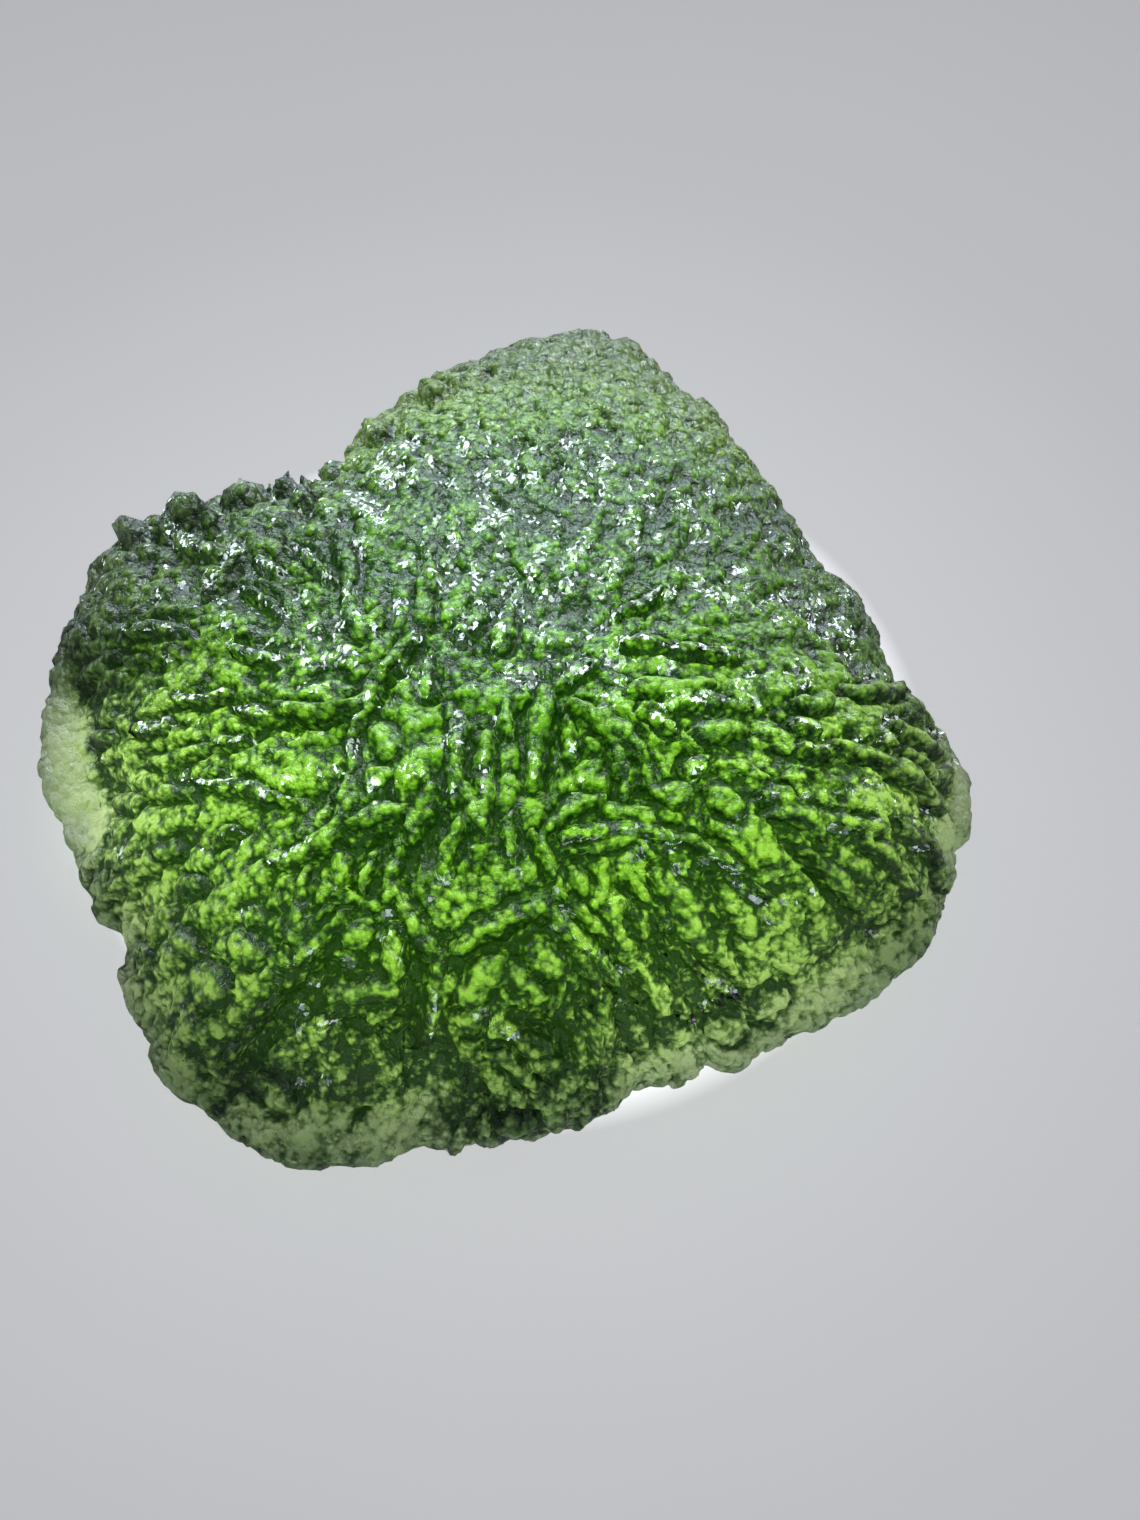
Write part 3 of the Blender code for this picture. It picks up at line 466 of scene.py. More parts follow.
def section(t, theta):
    """(share of the outline radius, height) down the body's side: apex at t = 0, belly at t = 1."""
    far = 0.5 + 0.5 * np.sin(theta)  # 1 at the far side
    left = 0.5 - 0.5 * np.cos(theta)
    inset = 0.045 - 0.015 * far + 0.05 * left * (1 - far)
    shoulder = SHOULDER_Z - 0.4 * left + 0.3 * far
    drop = HEIGHT - shoulder
    full = [
        (0.0, HEIGHT), (0.14, HEIGHT), (0.36, HEIGHT - 0.12 * drop),
        (0.62, HEIGHT - 0.34 * drop), (0.87 - inset, HEIGHT - 0.66 * drop),
        (1.02 - inset, shoulder), (1.02 - 0.5 * inset, shoulder - 1.4),
        (1.05, RIM_Z), (0.985, RIM_Z - 1.6), (0.80, 0.62),
        (0.58, 0.22), (0.36, -0.12), (0.15, -FLAT_DIP), (0.0, -FLAT_DIP),
    ]
    lipped = [
        (0.0, HEIGHT), (0.14, HEIGHT), (0.36, HEIGHT - 0.12 * drop),
        (0.60, HEIGHT - 0.36 * drop), (0.80 - inset, HEIGHT - 0.66 * drop),
        (0.91 - inset, shoulder), (0.90 - 0.5 * inset, RIM_Z + 0.35),
        (1.08, RIM_Z + 0.05), (1.05, RIM_Z - 1.15), (0.80, 0.75),
        (0.58, 0.22), (0.36, -0.12), (0.15, -FLAT_DIP), (0.0, -FLAT_DIP),
    ]
    lip = lip_at(theta)
    one = np.ones_like(theta)
    rows = [
        (a[0] * one + (b[0] - a[0]) * lip, a[1] * one + (b[1] - a[1]) * lip)
        for a, b in zip(full, lipped)
    ]
    return bspline(t, [r for r, _ in rows]), bspline(t, [z for _, z in rows])


def body_point(theta, t):
    """Points of the smooth body, N x 3."""
    share, z = section(t, theta)
    # the outline's small bites and corners fade out towards the apex and under the belly
    edge = smoothstep(t, 0.22, 0.38) * (1 - smoothstep(t, 0.66, 0.80))
    mid = smoothstep(t, 0.08, 0.34) * (1 - smoothstep(t, 0.72, 0.92))
    radius = rim_at(theta, ROUNDED)
    radius = radius * (1 - mid) + rim_at(theta, MILD) * mid
    radius = radius * (1 - edge) + rim_at(theta, DRAWN) * edge
    rim = APEX + np.stack([np.cos(theta), np.sin(theta)], 1) * radius[:, None]
    k = smoothstep(t, 0.5, 0.7)[:, None]
    centre = APEX * (1 - k) + BELLY * k
    return np.column_stack([centre + share[:, None] * (rim - centre), z])


def even_share(top_weight=1.0):
    """Table from a share of the sphere's area to t. The top gets more of the mesh with a larger weight."""
    t = np.linspace(0, 1, 400)
    share, z = section(t, np.full_like(t, 0.3))
    r = share * WIDTH * 0.54
    ds = np.hypot(np.diff(r), np.diff(z))
    weight = 1 + (top_weight - 1) * (1 - smoothstep((t[1:] + t[:-1]) / 2, 0.50, 0.72))
    area = np.concatenate([[0], np.cumsum(ds * (r[1:] + r[:-1]) / 2 * weight)])
    return t, area / area[-1]


def quad_sphere(grid):
    """A cube cut into a grid, which blown_up turns into an even sphere."""
    bm = bmesh.new()
    bmesh.ops.create_cube(bm, size=2.0)
    bmesh.ops.subdivide_edges(bm, edges=bm.edges[:], cuts=grid - 1, use_grid_fill=True)
    return bm


def blown_up(bm):
    p = np.array([v.co for v in bm.verts])
    x, y, z = p.T
    return np.column_stack([
        x * np.sqrt(1 - y * y / 2 - z * z / 2 + y * y * z * z / 3),
        y * np.sqrt(1 - z * z / 2 - x * x / 2 + z * z * x * x / 3),
        z * np.sqrt(1 - x * x / 2 - y * y / 2 + x * x * y * y / 3),
    ])


# ---------------------------------------------------------------- the relief
def smooth_body_tree():
    bm = quad_sphere(40)
    s = blown_up(bm)
    t_table, area = even_share()
    t = np.interp((1 - s[:, 2]) / 2, area, t_table)
    points = body_point(np.arctan2(s[:, 1], s[:, 0]), t)
    for v, p in zip(bm.verts, points):
        v.co = p
    bm.normal_update()
    tree = BVHTree.FromBMesh(bm)
    bm.free()
    return tree


def seen_on_body(tree, u, v):
    """The body point that a pixel shows, or the nearest one where it just misses."""
    d = ray(u, v)
    d = d / np.linalg.norm(d)
    hit = tree.ray_cast(Vector(EYE), Vector(d))
    if hit[0] is None:
        x, y = on_level(u, v, RIM_Z + 0.8)
        hit = tree.find_nearest(Vector((x, y, RIM_Z + 0.8)))
    return np.array(hit[0])


def px_to_mm(point):
    return np.dot(point - EYE, FORWARD) / FOCAL_PX


def resample(line, count=14):
    """The line rounded through its points, with even steps."""
    line = np.array(line, float)
    if len(line) > 2:
        pad = np.vstack([2 * line[0] - line[1], line, 2 * line[-1] - line[-2]])
        out = []
        for i in range(1, len(pad) - 2):
            p0, p1, p2, p3 = pad[i - 1 : i + 3]
            for s in np.linspace(0, 1, 8, endpoint=False):
                out.append(0.5 * ((2 * p1) + (p2 - p0) * s + (2 * p0 - 5 * p1 + 4 * p2 - p3) * s * s + (3 * p1 - p0 - 3 * p2 + p3) * s**3))
        out.append(line[-1])
        line = np.array(out)
    step = np.concatenate([[0], np.cumsum(np.hypot(*np.diff(line, axis=0).T))])
    s = np.linspace(0, step[-1], count)
    return np.column_stack([np.interp(s, step, line[:, 0]), np.interp(s, step, line[:, 1])])


def girth(count, rng, end):
    """Share of a lobe's full half width at each point of its line: it tapers and swells."""
    s = np.linspace(0, 1, count)
    taper = end + (1 - end) * np.clip(4 * s * (1 - s), 0, 1) ** 0.5
    if count < 4:
        taper = np.ones(count)
    return taper * (1 + rng.normal(0, 0.07, count))


def traced(tree, table, seed=5, end=0.5):
    rng = np.random.default_rng(seed)
    out = []
    for width, height, line in table:
        length = sum(math.dist(a, b) for a, b in zip(line[:-1], line[1:]))
        count = max(2, min(24, int(length / 8) + 1))
        points = np.array([seen_on_body(tree, u, v) for u, v in resample(line, count)])
        half = 0.5 * width * px_to_mm(points.mean(0))
        out.append((points, half, height, girth(count, rng, end)))
    return out


def scattered(seed, taken, count, long_range, half_range, t_max, spread=0.95):
    """Lobes that fan out over the rest of the body."""
    rng = np.random.default_rng(seed)
    t_table, area = even_share()
    tries = count * 8
    theta = rng.uniform(-math.pi, math.pi, tries)
    t = np.interp(rng.random(tries), area, t_table)
    length, half = rng.uniform(*long_range, tries), rng.uniform(*half_range, tries)
    turn, bend = rng.normal(0, 0.28, tries), rng.normal(0, 0.25, tries)
    tall = rng.uniform(0.55, 0.85, tries)
    p = body_point(theta, t)
    along = body_point(theta, t + 1e-3) - p
    across = body_point(theta + 1e-3, t) - p
    per_t = np.linalg.norm(along, axis=1) / 1e-3
    along /= np.linalg.norm(along, axis=1)[:, None]
    across /= np.maximum(np.linalg.norm(across, axis=1), 1e-9)[:, None]
    free = t < t_max
    if taken:
        cells = Cells(p)
        for line, wide, _, _ in taken:
            reach = 0.8 * wide + 0.25
            near = cells.inside(line.min(0) - reach, line.max(0) + reach)
            for q in line:
                free[near[((p[near] - q) ** 2).sum(1) < (0.8 * (wide + 0.55 * half[near])) ** 2]] = False
    kept, grid, size = [], {}, long_range[1] * 0.95
    for i in np.flatnonzero(free):
        key = tuple((p[i] / size).astype(int))
        near = [
            j
            for x in (-1, 0, 1)
            for y in (-1, 0, 1)
            for z in (-1, 0, 1)
            for j in grid.get((key[0] + x, key[1] + y, key[2] + z), ())
        ]
        if near:
            d = p[near] - p[i]
            a, b = d @ along[i], d @ across[i]
            c = (d * d).sum(1) - a * a - b * b
            if (
                (a / (0.45 * (length[i] + length[near]))) ** 2
                + (b / (spread * (half[i] + half[near]))) ** 2 + c < 1
            ).any():
                continue
        grid.setdefault(key, []).append(i)
        kept.append(i)
        if len(kept) == count:
            break
    kept = np.array(kept)
    steps = np.linspace(-0.5, 0.5, 6 if long_range[1] > 1 else 2)
    s = length[kept][:, None] * steps
    radius = np.maximum(np.hypot(*(p[kept][:, :2] - APEX).T), 1.5)[:, None]
    line_theta = theta[kept][:, None] + (np.sin(turn[kept])[:, None] * s + bend[kept][:, None] * s * s / length[kept][:, None]) / radius
    line_t = np.clip(t[kept][:, None] + np.cos(turn[kept])[:, None] * s / per_t[kept][:, None], 0.01, 0.99)
    lines = body_point(line_theta.ravel(), line_t.ravel()).reshape(len(kept), len(steps), 3)
    return [
        (lines[k], half[i], tall[i] * half[i], girth(len(steps), rng, 0.6)) for k, i in enumerate(kept)
    ]


class Cells:
    def __init__(self, points, size=0.8):
        self.points, self.size = points, size
        self.low = points.min(0) - size
        key = ((points - self.low) / size).astype(int)
        self.n = key.max(0) + 2
        flat = (key[:, 0] * self.n[1] + key[:, 1]) * self.n[2] + key[:, 2]
        self.order = np.argsort(flat, kind="stable")
        self.start = np.searchsorted(flat[self.order], np.arange(self.n.prod() + 1))

    def inside(self, lo, hi):
        """Indices of the points in the cells that a box touches."""
        i0 = np.clip(((lo - self.low) / self.size).astype(int), 0, self.n - 1)
        i1 = np.clip(((hi - self.low) / self.size).astype(int), 0, self.n - 1)
        out = []
        for x in range(i0[0], i1[0] + 1):
            for y in range(i0[1], i1[1] + 1):
                row = (x * self.n[1] + y) * self.n[2]
                out.append(self.order[self.start[row + i0[2]] : self.start[row + i1[2] + 1]])
        return np.concatenate(out)


def raised(cells, features, power=0.5, moat=0.0):
    """For each point: the highest and second highest lobe over it in mm, how near it is to that lobe's
    crest line (1 on it, and on the broad back of a wide one, 0 at its foot), and how near it is to the narrow moat round some lobe's foot."""
    high = np.zeros(len(cells.points))
    second = np.zeros(len(cells.points))
    crest = np.zeros(len(cells.points))
    foot = np.zeros(len(cells.points))
    for line, half, height, wide in features:
        reach = half * wide.max() + 3 * moat
        near = cells.inside(line.min(0) - reach, line.max(0) + reach)
        if not len(near):
            continue
        p = cells.points[near]
        share = np.full(len(near), 1e9)  # distance from the crest line over the half width there
        for a, b, wa, wb in zip(line[:-1], line[1:], wide[:-1] * half, wide[1:] * half):
            ab = b - a
            s = np.clip(((p - a) @ ab) / max(ab @ ab, 1e-9), 0, 1)
            d = p - a - s[:, None] * ab
            share = np.minimum(share, np.sqrt(np.einsum("ij,ij->i", d, d)) / (wa + (wb - wa) * s))
        rise = height * np.clip(1 - share**2, 0, 1) ** power
        was = high[near]
        second[near] = np.maximum(second[near], np.minimum(was, rise))
        high[near] = np.maximum(was, rise)
        crest[near] = np.where(rise > was, np.clip((1 - share) * min(max(1.0, half / 0.42), 1.3), 0, 1), crest[near])
        if moat:
            out = (share - 1) * half
            foot[near] = np.maximum(foot[near], np.exp(-(((out - 0.6 * moat) / moat) ** 2)))
    return high, second, crest, foot


def glinting(base, normals):
    """How much each point lies in a patch of clean facets, 0 to 1."""
    d = base - EYE
    away = d @ FORWARD
    ragged = 3.0 * drift(base, 1.6, 6)
    u = 570 + (d @ RIGHT) / away * FOCAL_PX + ragged[:, 0]
    v = 760 - (d @ UP) / away * FOCAL_PX + ragged[:, 1]
    front = np.flatnonzero((normals * d).sum(1) < 0)
    u, v = u[front], v[front]
    best = np.zeros(len(front))
    for x, y, rx, ry in GLINTS:
        near = np.flatnonzero((np.abs(u - x) < 1.6 * rx) & (np.abs(v - y) < 1.6 * ry))
        share = np.hypot((u[near] - x) / rx, (v[near] - y) / ry)
        best[near] = np.maximum(best[near], np.clip((1.35 - share) / 0.5, 0, 1))
    for x0, y0, x1, y1, r in GLINT_LINES:
        length = math.hypot(x1 - x0, y1 - y0)
        ax, ay = (x1 - x0) / length, (y1 - y0) / length
        along = (u - x0) * ax + (v - y0) * ay
        side = np.hypot(along - np.clip(along, 0, length), (v - y0) * ax - (u - x0) * ay)
        best = np.maximum(best, np.clip((1.35 - side / r) / 0.5, 0, 1))
    out = np.zeros(len(base))
    out[front] = best
    return out


def drift(points, scale, seed):
    """A smooth random vector at each point, each part between about -1 and 1."""
    noise.seed_set(21)  # without a fixed seed, noise_vector differs from run to run
    lift = Vector((seed * 7.3, seed * 3.1, seed * 5.7))
    return np.array([noise.noise_vector(Vector(p) * scale + lift) for p in points])


def make_stone():
    tree = smooth_body_tree()
    main = traced(tree, LOBES)
    grooves = traced(tree, GROOVES, end=0.35)
    hollows = traced(tree, HOLLOWS, end=0.6)
    filling = scattered(7, main + grooves, 3000, (0.7, 2.4), (0.34, 0.66), 1.0, spread=0.80)
    knobs = scattered(11, [], 9000, (0.25, 0.6), (0.16, 0.30), 1.0, spread=0.85)

    bm = quad_sphere(GRID)
    s = blown_up(bm)
    t_table, area = even_share(2.3)
    theta = np.arctan2(s[:, 1], s[:, 0])
    t = np.interp((1 - s[:, 2]) / 2, area, t_table)
    base = body_point(theta, t)
    for v, p in zip(bm.verts, base):
        v.co = p
    bm.normal_update()
    normals = np.array([v.normal for v in bm.verts])

    # the relief's outlines are a little ragged
    ragged = base + 0.20 * drift(base, 0.9, 0) + 0.13 * drift(base, 2.2, 5) + 0.04 * drift(base, 5.0, 9)
    wild = base + 0.34 * drift(base, 0.8, 3) + 0.24 * drift(base, 2.0, 8) + 0.05 * drift(base, 5.0, 4)
    cells = Cells(ragged)
    rise, beside, ridge, moat = raised(cells, main, power=0.62, moat=0.10)
    cut = raised(cells, grooves, power=1.0)[0] * (1 - 0.85 * smoothstep(t, 0.37, 0.45))
    hollow = raised(cells, hollows, power=1.0)[0]
    fill, fill_beside, fill_ridge, _ = raised(Cells(wild), filling, power=0.5)
    small, small_beside, small_ridge, _ = raised(Cells(base), knobs, power=0.5)
    wob = np.array([noise.noise(Vector(p) * 0.45) + 0.5 * noise.noise(Vector(p) * 1.1) for p in base])
    uneven = np.array([0.95 + 0.5 * noise.noise(Vector(p) * 1.0 + Vector((2, 9, 6))) for p in base]).clip(0.6, 1.25)
    rise, beside = rise * uneven, beside * uneven
    on_main = smoothstep(rise, 0.02, 0.12)
    moat = moat * (1 - on_main)
    # a sharp seam wherever two lobes meet, open in some places and healed in others
    gap = np.array([0.5 + 0.9 * noise.noise(Vector(p) * 0.9 + Vector((3, 7, 1))) for p in base]).clip(0.1, 1)
    seam = np.exp(-(((rise - beside) / 0.05) ** 2)) * on_main
    fill_seam = np.exp(-(((fill - fill_beside) / 0.045) ** 2)) * gap
    small_seam = np.exp(-(((small - small_beside) / 0.03) ** 2))
    fill = fill * (1 - 0.75 * moat)
    under = smoothstep(t, 0.70, 0.85)
    patch = np.array([noise.noise(Vector(p) * 0.55 + Vector((9, 4, 2))) + 0.7 * noise.noise(Vector(p) * 1.5) for p in base])
    outer = smoothstep(t + 0.02 * patch, 0.425, 0.475)
    lip = lip_at(theta) * outer
    pale = lip_at(theta, 3) * outer
    calm = 1 - 0.38 * pale * (1 - under)
    crumbly = smoothstep(t, 0.37, 0.45) * (1 - under)
    front = smoothstep(-normals[:, 1], 0.25, 0.50)
    far_tip = smoothstep(base[:, 1], 8.5, 15.0) * (1 - under)
    total = (
        on_main * (0.95 * rise + 0.06 - 0.12 * seam + 0.22 * small)
        + (1 - on_main) * (0.55 * fill - 0.10 * fill_seam + 0.50 * small - 0.05 * small_seam)
        + crumbly * (0.55 * small - 0.06 * small_seam - 0.04)
        - 0.20 * moat - 0.8 * cut - 0.7 * hollow - 0.16 + 0.16 * wob
    )
    total = total * (1 - 0.35 * np.exp(-(((t - 0.56) / 0.06) ** 2))) * calm - 0.12 * under
    points = base + normals * total[:, None]
    # painted light and shade in the glass's colour: crests lightened as highlights, and seams, moats, grooves and
    # hollows darkened as shade, over tone that differs at random
    light = (
        0.68 + 0.34 * patch
        + on_main * (-0.60 + 0.95 * ridge**1.2 - 0.25 * seam + 0.30 * (small_ridge - 0.4) + 0.35 * (uneven - 0.95))
        + (1 - on_main) * (0.40 * (fill_ridge - 0.4) - 0.40 * fill_seam)
        + (0.26 + 0.25 * crumbly) * (small_ridge - 0.4) - (0.14 + 0.22 * crumbly) * small_seam
        - 1.2 * moat - 1.0 * cut - 0.95 * hollow
    )
    # painted light and shade in set patches of the plan
    for x, y, rx, ry, more in PAINTED_TONES:
        light = light + more * np.exp(-(((base[:, 0] - x) / rx) ** 2) - ((base[:, 1] - y) / ry) ** 2)
    # painted shade: the far half of the top is darker
    upper = smoothstep(base[:, 1], -0.5, 4.0) * (1 - under)
    light = light * (1 - 0.40 * upper) - 0.02 * upper
    # painted light: the far tip is paler, like a haze
    light = light * (1 - 0.75 * far_tip) + 0.80 * far_tip
    # painted light: the thin lip is paler, as thin glass lets more light through
    light = light * (1 - 0.75 * pale) + 1.15 * pale
    # painted shade: a dark line along the lip's inner edge
    light = light - 0.7 * lip_at(theta) * np.exp(-(((t - 0.415) / 0.016) ** 2))
    # the painted light and shade, milder and lighter underneath
    painted_shading = np.clip(light * (1 - under) + (0.62 + 0.35 * light) * under, 0, 1.3)

    glint = glinting(base, normals)
    # more of them, at random, over the far slope
    specks = np.array([noise.noise(Vector(p) * 2.1 + Vector((5, 1, 8))) for p in base])
    far_slope = smoothstep(base[:, 1], 5.0, 10.0) * (1 - under) * (1 - far_tip)
    glint = np.maximum(glint, smoothstep(specks, 0.30, 0.42) * far_slope) * (1 - 0.9 * far_tip)

    # the painted light and shade are stored under the name crest
    painted_shading_layer = bm.verts.layers.float.new("crest")
    shine = bm.verts.layers.float.new("glint")
    near_side = bm.verts.layers.float.new("front")
    frost = bm.verts.layers.float.new("frost")
    even = bm.verts.layers.float.new("even")
    smooth_lip = np.maximum(pale * (1 - under), np.maximum(0.22 * on_main, 0.40 * upper))
    for v, p, d, g, n, f, e in zip(bm.verts, points * MM, painted_shading, glint, front, far_tip, smooth_lip):
        v.co = p
        v[painted_shading_layer] = d
        v[shine] = g
        v[near_side] = n
        v[frost] = f
        v[even] = e
    cutting = bmesh.ops.bisect_plane(
        bm, geom=bm.verts[:] + bm.edges[:] + bm.faces[:], dist=1e-8,
        plane_co=(0, 0, 0), plane_no=(0, 0, -1), clear_outer=True,
    )
    edge = [e for e in cutting["geom_cut"] if isinstance(e, bmesh.types.BMEdge)]
    bmesh.ops.edgeloop_fill(bm, edges=edge)
    bmesh.ops.triangulate(bm, faces=[f for f in bm.faces if len(f.verts) > 4])
    bmesh.ops.recalc_face_normals(bm, faces=bm.faces[:])
    lo = Vector([min(v.co[i] for v in bm.verts) for i in range(3)])
    hi = Vector([max(v.co[i] for v in bm.verts) for i in range(3)])
    shift = Vector((-(lo.x + hi.x) / 2, -(lo.y + hi.y) / 2, -lo.z))
    bmesh.ops.translate(bm, verts=bm.verts[:], vec=shift)
    mesh = bpy.data.meshes.new("moldavite_sculpted")
    bm.to_mesh(mesh)
    bm.free()
    mesh.shade_smooth()
    obj = bpy.data.objects.new("moldavite_sculpted", mesh)
    bpy.context.scene.collection.objects.link(obj)
    return obj, shift


# ---------------------------------------------------------------- materials
def node(nodes, kind, **values):
    n = nodes.new(kind)
    for k, v in values.items():
        if k.startswith("in_"):
            key = k[3:]
            n.inputs[int(key) if key.isdigit() else key.replace("_", " ")].default_value = v
        else:
            setattr(n, k, v)
    return n


FACETS_LEAN = (-0.044, 0.044, 1.0)
NEAR_FACETS_LEAN = (0.058, -0.467, 0.882)


def moldavite_glass():
    material = bpy.data.materials.new("moldavite_glass")
    material.use_nodes = True
    nodes, links = material.node_tree.nodes, material.node_tree.links
    shader = nodes["Principled BSDF"]
    output = nodes["Material Output"]
    where = node(nodes, "ShaderNodeTexCoord")
    # crumbs of two sizes
    coarse = node(nodes, "ShaderNodeTexVoronoi", in_Scale=2600.0)
    fine = node(nodes, "ShaderNodeTexNoise", in_Scale=3600.0, in_Detail=3.0, in_Roughness=0.7)
    links.new(where.outputs["Object"], coarse.inputs["Vector"])
    links.new(where.outputs["Object"], fine.inputs["Vector"])
    # painted light and shade in the colour: the crest attribute's painted shading, and painted shade in the gaps
    # between crumbs, over tone that differs at random
    crest = node(nodes, "ShaderNodeAttribute", attribute_name="crest")
    mottle_and_gap_shade = node(nodes, "ShaderNodeMath", operation="MULTIPLY_ADD")
    mottle_and_gap_shade.inputs[1].default_value = -1.3
    mottle_and_gap_shade.inputs[2].default_value = 0.55
    links.new(coarse.outputs["Distance"], mottle_and_gap_shade.inputs[0])
    grit = node(nodes, "ShaderNodeMath", operation="MULTIPLY_ADD")
    grit.inputs[1].default_value = 1.3
    grit.inputs[2].default_value = -0.25
    links.new(fine.outputs["Fac"], grit.inputs[0])
    crumbs = node(nodes, "ShaderNodeTexVoronoi", in_Scale=5200.0)
    links.new(where.outputs["Object"], crumbs.inputs["Vector"])
    specks = node(nodes, "ShaderNodeMath", operation="MULTIPLY_ADD")
    specks.inputs[1].default_value = -0.9
    links.new(crumbs.outputs["Distance"], specks.inputs[0])
    links.new(grit.outputs[0], specks.inputs[2])
    both = node(nodes, "ShaderNodeMath", operation="ADD")
    links.new(mottle_and_gap_shade.outputs[0], both.inputs[0])
    links.new(specks.outputs[0], both.inputs[1])
    even = node(nodes, "ShaderNodeAttribute", attribute_name="even")
    weight = node(nodes, "ShaderNodeMapRange", in_1=0.0, in_2=1.0, in_3=1.0, in_4=0.35)
    links.new(even.outputs["Fac"], weight.inputs[0])
    shade = node(nodes, "ShaderNodeMath", operation="MULTIPLY_ADD")
    links.new(both.outputs[0], shade.inputs[0])
    links.new(weight.outputs[0], shade.inputs[1])
    links.new(crest.outputs["Fac"], shade.inputs[2])
    # ramp from painted shade to painted light
    painted_shade_ramp = node(nodes, "ShaderNodeValToRGB")
    painted_shade_ramp.color_ramp.elements[0].position = 0.05
    painted_shade_ramp.color_ramp.elements[0].color = (0.002, 0.008, 0.002, 1)
    painted_shade_ramp.color_ramp.elements[1].position = 1.0
    painted_shade_ramp.color_ramp.elements[1].color = (0.95, 1.0, 0.85, 1)
    middle = painted_shade_ramp.color_ramp.elements.new(0.45)
    middle.color = (0.08, 0.15, 0.045, 1)
    links.new(shade.outputs[0], painted_shade_ramp.inputs["Fac"])
    links.new(painted_shade_ramp.outputs["Color"], shader.inputs["Base Color"])
    shader.inputs["Transmission Weight"].default_value = 1.0
    shader.inputs["IOR"].default_value = 1.49
    # etched matt, with patches of clean facets
    facets = node(nodes, "ShaderNodeTexVoronoi", in_Scale=7000.0)
    links.new(where.outputs["Object"], facets.inputs["Vector"])
    parts = node(nodes, "ShaderNodeSeparateColor")
    links.new(facets.outputs["Color"], parts.inputs[0])
    glint = node(nodes, "ShaderNodeAttribute", attribute_name="glint")
    # in a patch most of the facets are clean, and fewer towards its edge
    front = node(nodes, "ShaderNodeAttribute", attribute_name="front")
    share = node(nodes, "ShaderNodeMapRange", in_1=0.0, in_2=1.0, in_3=0.70, in_4=1.0)
    links.new(front.outputs["Fac"], share.inputs[0])
    odds = node(nodes, "ShaderNodeMath", operation="MULTIPLY")
    links.new(share.outputs[0], odds.inputs[1])
    links.new(glint.outputs["Fac"], odds.inputs[0])
    clean = node(nodes, "ShaderNodeMath", operation="LESS_THAN")
    links.new(parts.outputs["Blue"], clean.inputs[0])
    links.new(odds.outputs[0], clean.inputs[1])
    frost = node(nodes, "ShaderNodeAttribute", attribute_name="frost")
    matt = node(nodes, "ShaderNodeMapRange", in_1=0.0, in_2=1.0, in_3=0.43, in_4=0.36)
    links.new(frost.outputs["Fac"], matt.inputs[0])
    rough = node(nodes, "ShaderNodeMapRange", in_1=0.0, in_2=1.0, in_4=0.22)
    links.new(clean.outputs[0], rough.inputs[0])
    links.new(matt.outputs[0], rough.inputs[3])
    links.new(rough.outputs[0], shader.inputs["Roughness"])
    pebbles = node(nodes, "ShaderNodeBump", in_Strength=0.9, in_Distance=0.00022, invert=True)
    links.new(coarse.outputs["Distance"], pebbles.inputs["Height"])
    bump = node(nodes, "ShaderNodeBump", in_Strength=0.9, in_Distance=0.00020)
    links.new(fine.outputs["Fac"], bump.inputs["Height"])
    links.new(pebbles.outputs["Normal"], bump.inputs["Normal"])
    # the clean facets of a patch all lean nearly the same way, up and away
    centred = node(nodes, "ShaderNodeVectorMath", operation="SUBTRACT")
    centred.inputs[1].default_value = (0.5, 0.5, 0.5)
    links.new(facets.outputs["Color"], centred.inputs[0])
    tilt = node(nodes, "ShaderNodeVectorMath", operation="SCALE")
    tilt.inputs["Scale"].default_value = 0.34
    links.new(centred.outputs[0], tilt.inputs[0])
    lean = node(nodes, "ShaderNodeMix", data_type="VECTOR")
    lean.inputs["A"].default_value = FACETS_LEAN
    lean.inputs["B"].default_value = NEAR_FACETS_LEAN
    links.new(front.outputs["Fac"], lean.inputs["Factor"])
    leaning = node(nodes, "ShaderNodeVectorMath", operation="ADD")
    links.new(tilt.outputs[0], leaning.inputs[0])
    links.new(lean.outputs["Result"], leaning.inputs[1])
    pick = node(nodes, "ShaderNodeMix", data_type="VECTOR")
    links.new(clean.outputs[0], pick.inputs["Factor"])
    links.new(bump.outputs["Normal"], pick.inputs["A"])
    links.new(leaning.outputs[0], pick.inputs["B"])
    unit = node(nodes, "ShaderNodeVectorMath", operation="NORMALIZE")
    links.new(pick.outputs["Result"], unit.inputs[0])
    links.new(unit.outputs[0], shader.inputs["Normal"])
    absorb = node(nodes, "ShaderNodeVolumeAbsorption")
    absorb.inputs["Color"].default_value = (0.66, 0.83, 0.18, 1.0)
    absorb.inputs["Density"].default_value = 400.0
    links.new(absorb.outputs[0], output.inputs["Volume"])
    return material


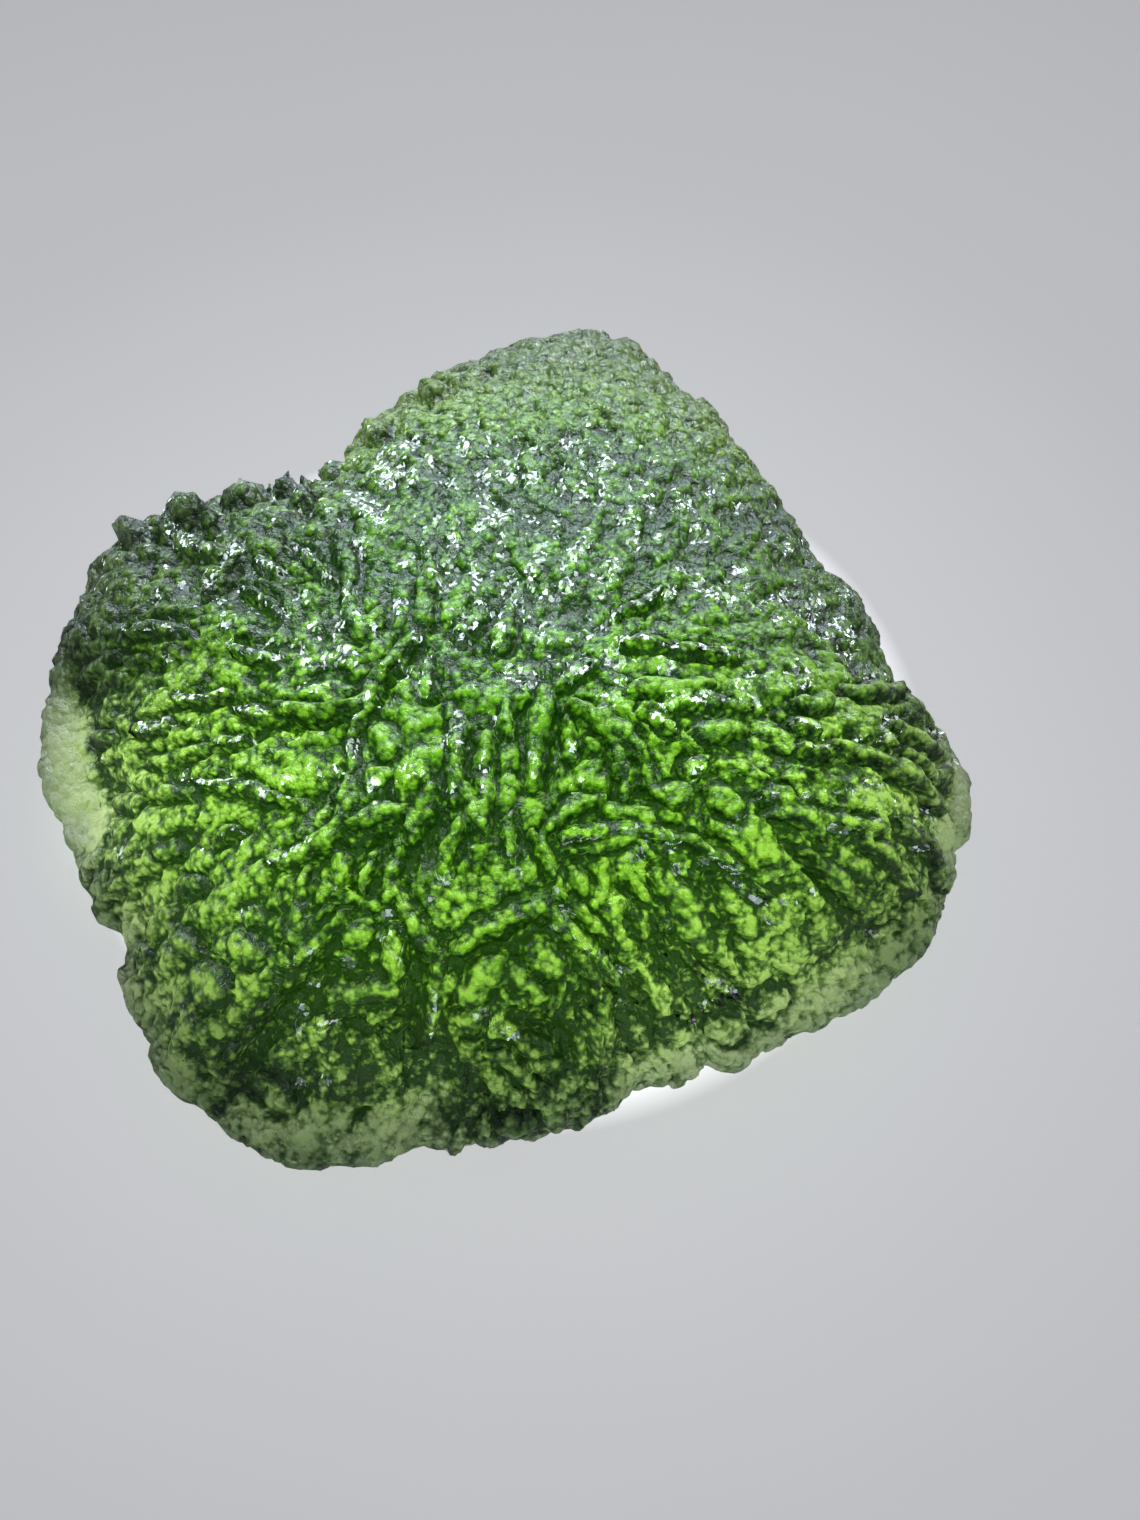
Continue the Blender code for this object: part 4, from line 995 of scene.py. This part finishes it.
def floor_material():
    material = bpy.data.materials.new("pale_floor")
    material.use_nodes = True
    nodes, links = material.node_tree.nodes, material.node_tree.links
    shader = nodes["Principled BSDF"]
    where = node(nodes, "ShaderNodeTexCoord")
    cloud = node(nodes, "ShaderNodeTexNoise", in_Scale=14.0, in_Detail=5.0, in_Roughness=0.55)
    links.new(where.outputs["Object"], cloud.inputs["Vector"])
    tint = node(nodes, "ShaderNodeMix", data_type="RGBA")
    tint.inputs["A"].default_value = (0.66, 0.67, 0.70, 1)
    tint.inputs["B"].default_value = (0.74, 0.74, 0.75, 1)
    links.new(cloud.outputs["Fac"], tint.inputs["Factor"])
    links.new(tint.outputs["Result"], shader.inputs["Base Color"])
    shader.inputs["Roughness"].default_value = 0.85
    links.new(tint.outputs["Result"], shader.inputs["Emission Color"])
    # the floor glows, a painted light from below that pools under the stone and dies away well outside the picture
    far = node(nodes, "ShaderNodeVectorMath", operation="LENGTH")
    links.new(where.outputs["Object"], far.inputs[0])
    pool = node(nodes, "ShaderNodeValToRGB")
    span = node(nodes, "ShaderNodeMath", operation="DIVIDE")
    span.inputs[1].default_value = 0.2
    links.new(far.outputs["Value"], span.inputs[0])
    links.new(span.outputs[0], pool.inputs["Fac"])
    ramp = pool.color_ramp
    ramp.elements[0].position, ramp.elements[0].color = 0.0, (1, 1, 1, 1)
    ramp.elements[1].position, ramp.elements[1].color = 0.85, (0.03, 0.03, 0.03, 1)
    for at, value in ((0.045, 0.95), (0.063, 0.56), (0.077, 0.140), (0.15, 0.118), (0.45, 0.08)):
        ramp.elements.new(at).color = (value, value, value, 1)
    glow = node(nodes, "ShaderNodeMath", operation="MULTIPLY")
    glow.inputs[1].default_value = FLOOR_GLOW
    links.new(pool.outputs["Color"], glow.inputs[0])
    links.new(glow.outputs[0], shader.inputs["Emission Strength"])
    material.cycles.emission_sampling = "NONE"
    return material


FLOOR_GLOW = 5.4


def area_light(name, place, aim, size, power, colour=(1, 1, 1), size_y=None):
    data = bpy.data.lights.new(name, "AREA")
    data.shape = "RECTANGLE" if size_y else "SQUARE"
    data.size = size
    if size_y:
        data.size_y = size_y
    data.energy = power
    data.color = colour
    obj = bpy.data.objects.new(name, data)
    obj.location = place
    obj.rotation_euler = (Vector(aim) - Vector(place)).to_track_quat("-Z", "Y").to_euler()
    bpy.context.scene.collection.objects.link(obj)
    return obj


# ---------------------------------------------------------------- build
stone, shift = make_stone()
stone.data.materials.append(moldavite_glass())
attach(stone, "root")
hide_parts("moldavite")

floor_mesh = bpy.data.meshes.new("floor")
bm = bmesh.new()
bmesh.ops.create_grid(bm, x_segments=1, y_segments=1, size=1.0)
bm.to_mesh(floor_mesh)
bm.free()
floor = bpy.data.objects.new("floor", floor_mesh)
floor.location = (0, 0, -0.00004)
floor.data.materials.append(floor_material())
bpy.context.scene.collection.objects.link(floor)

world = bpy.data.worlds.new("studio")
world.use_nodes = True
world.node_tree.nodes["Background"].inputs["Color"].default_value = (0.78, 0.88, 1.0, 1)
world.node_tree.nodes["Background"].inputs["Strength"].default_value = 0.11
world.cycles.sampling_method = "NONE"
bpy.context.scene.world = world

back = [
    area_light("back_soft", (-0.05, 0.36, 0.19), (0, 0, 0.004), 0.14, 1.6, (0.76, 0.90, 1.0), size_y=0.10),
    area_light("back_right", (0.16, 0.32, 0.22), (0, 0, 0.004), 0.05, 0.8, (1.0, 0.93, 0.88), size_y=0.03),
    area_light("high", (-0.03, 0.27, 0.33), (0, 0, 0.004), 0.11, 1.6, (0.84, 0.93, 1.0), size_y=0.08),
    area_light("horizon", (0.02, 0.45, 0.13), (0, 0, 0.004), 0.30, 1.3, (0.60, 0.82, 1.0), size_y=0.07),
    area_light("near", (0.05, -0.16, 0.40), (0, 0, 0.004), 0.09, 0.60, (0.80, 0.90, 1.0)),
]
lit = bpy.data.collections.new("lit_from_behind")
lit.objects.link(stone)
for light in back:  # kept off the floor, which would burn out, and out of the glass: they only glint
    light.light_linking.receiver_collection = lit
    light.visible_transmission = False

camera_data = bpy.data.cameras.new("camera")
camera_data.lens = LENS
camera_data.sensor_fit = "VERTICAL"
camera_data.sensor_height = SENSOR
camera_data.sensor_width = 27.0
camera_data.clip_start = 0.005
camera_data.clip_end = 10.0
camera = bpy.data.objects.new("camera", camera_data)
camera.location = Vector(EYE * MM) + shift
camera.rotation_euler = (math.pi / 2 - ELEVATION, 0, 0)
bpy.context.scene.collection.objects.link(camera)
bpy.context.scene.camera = camera

scene = bpy.context.scene
scene.view_settings.view_transform = "Standard"
scene.cycles.max_bounces = 7
scene.cycles.transmission_bounces = 7
scene.cycles.glossy_bounces = 4
scene.cycles.diffuse_bounces = 1
scene.cycles.sample_clamp_indirect = 1.6
scene.cycles.denoising_prefilter = "NONE"
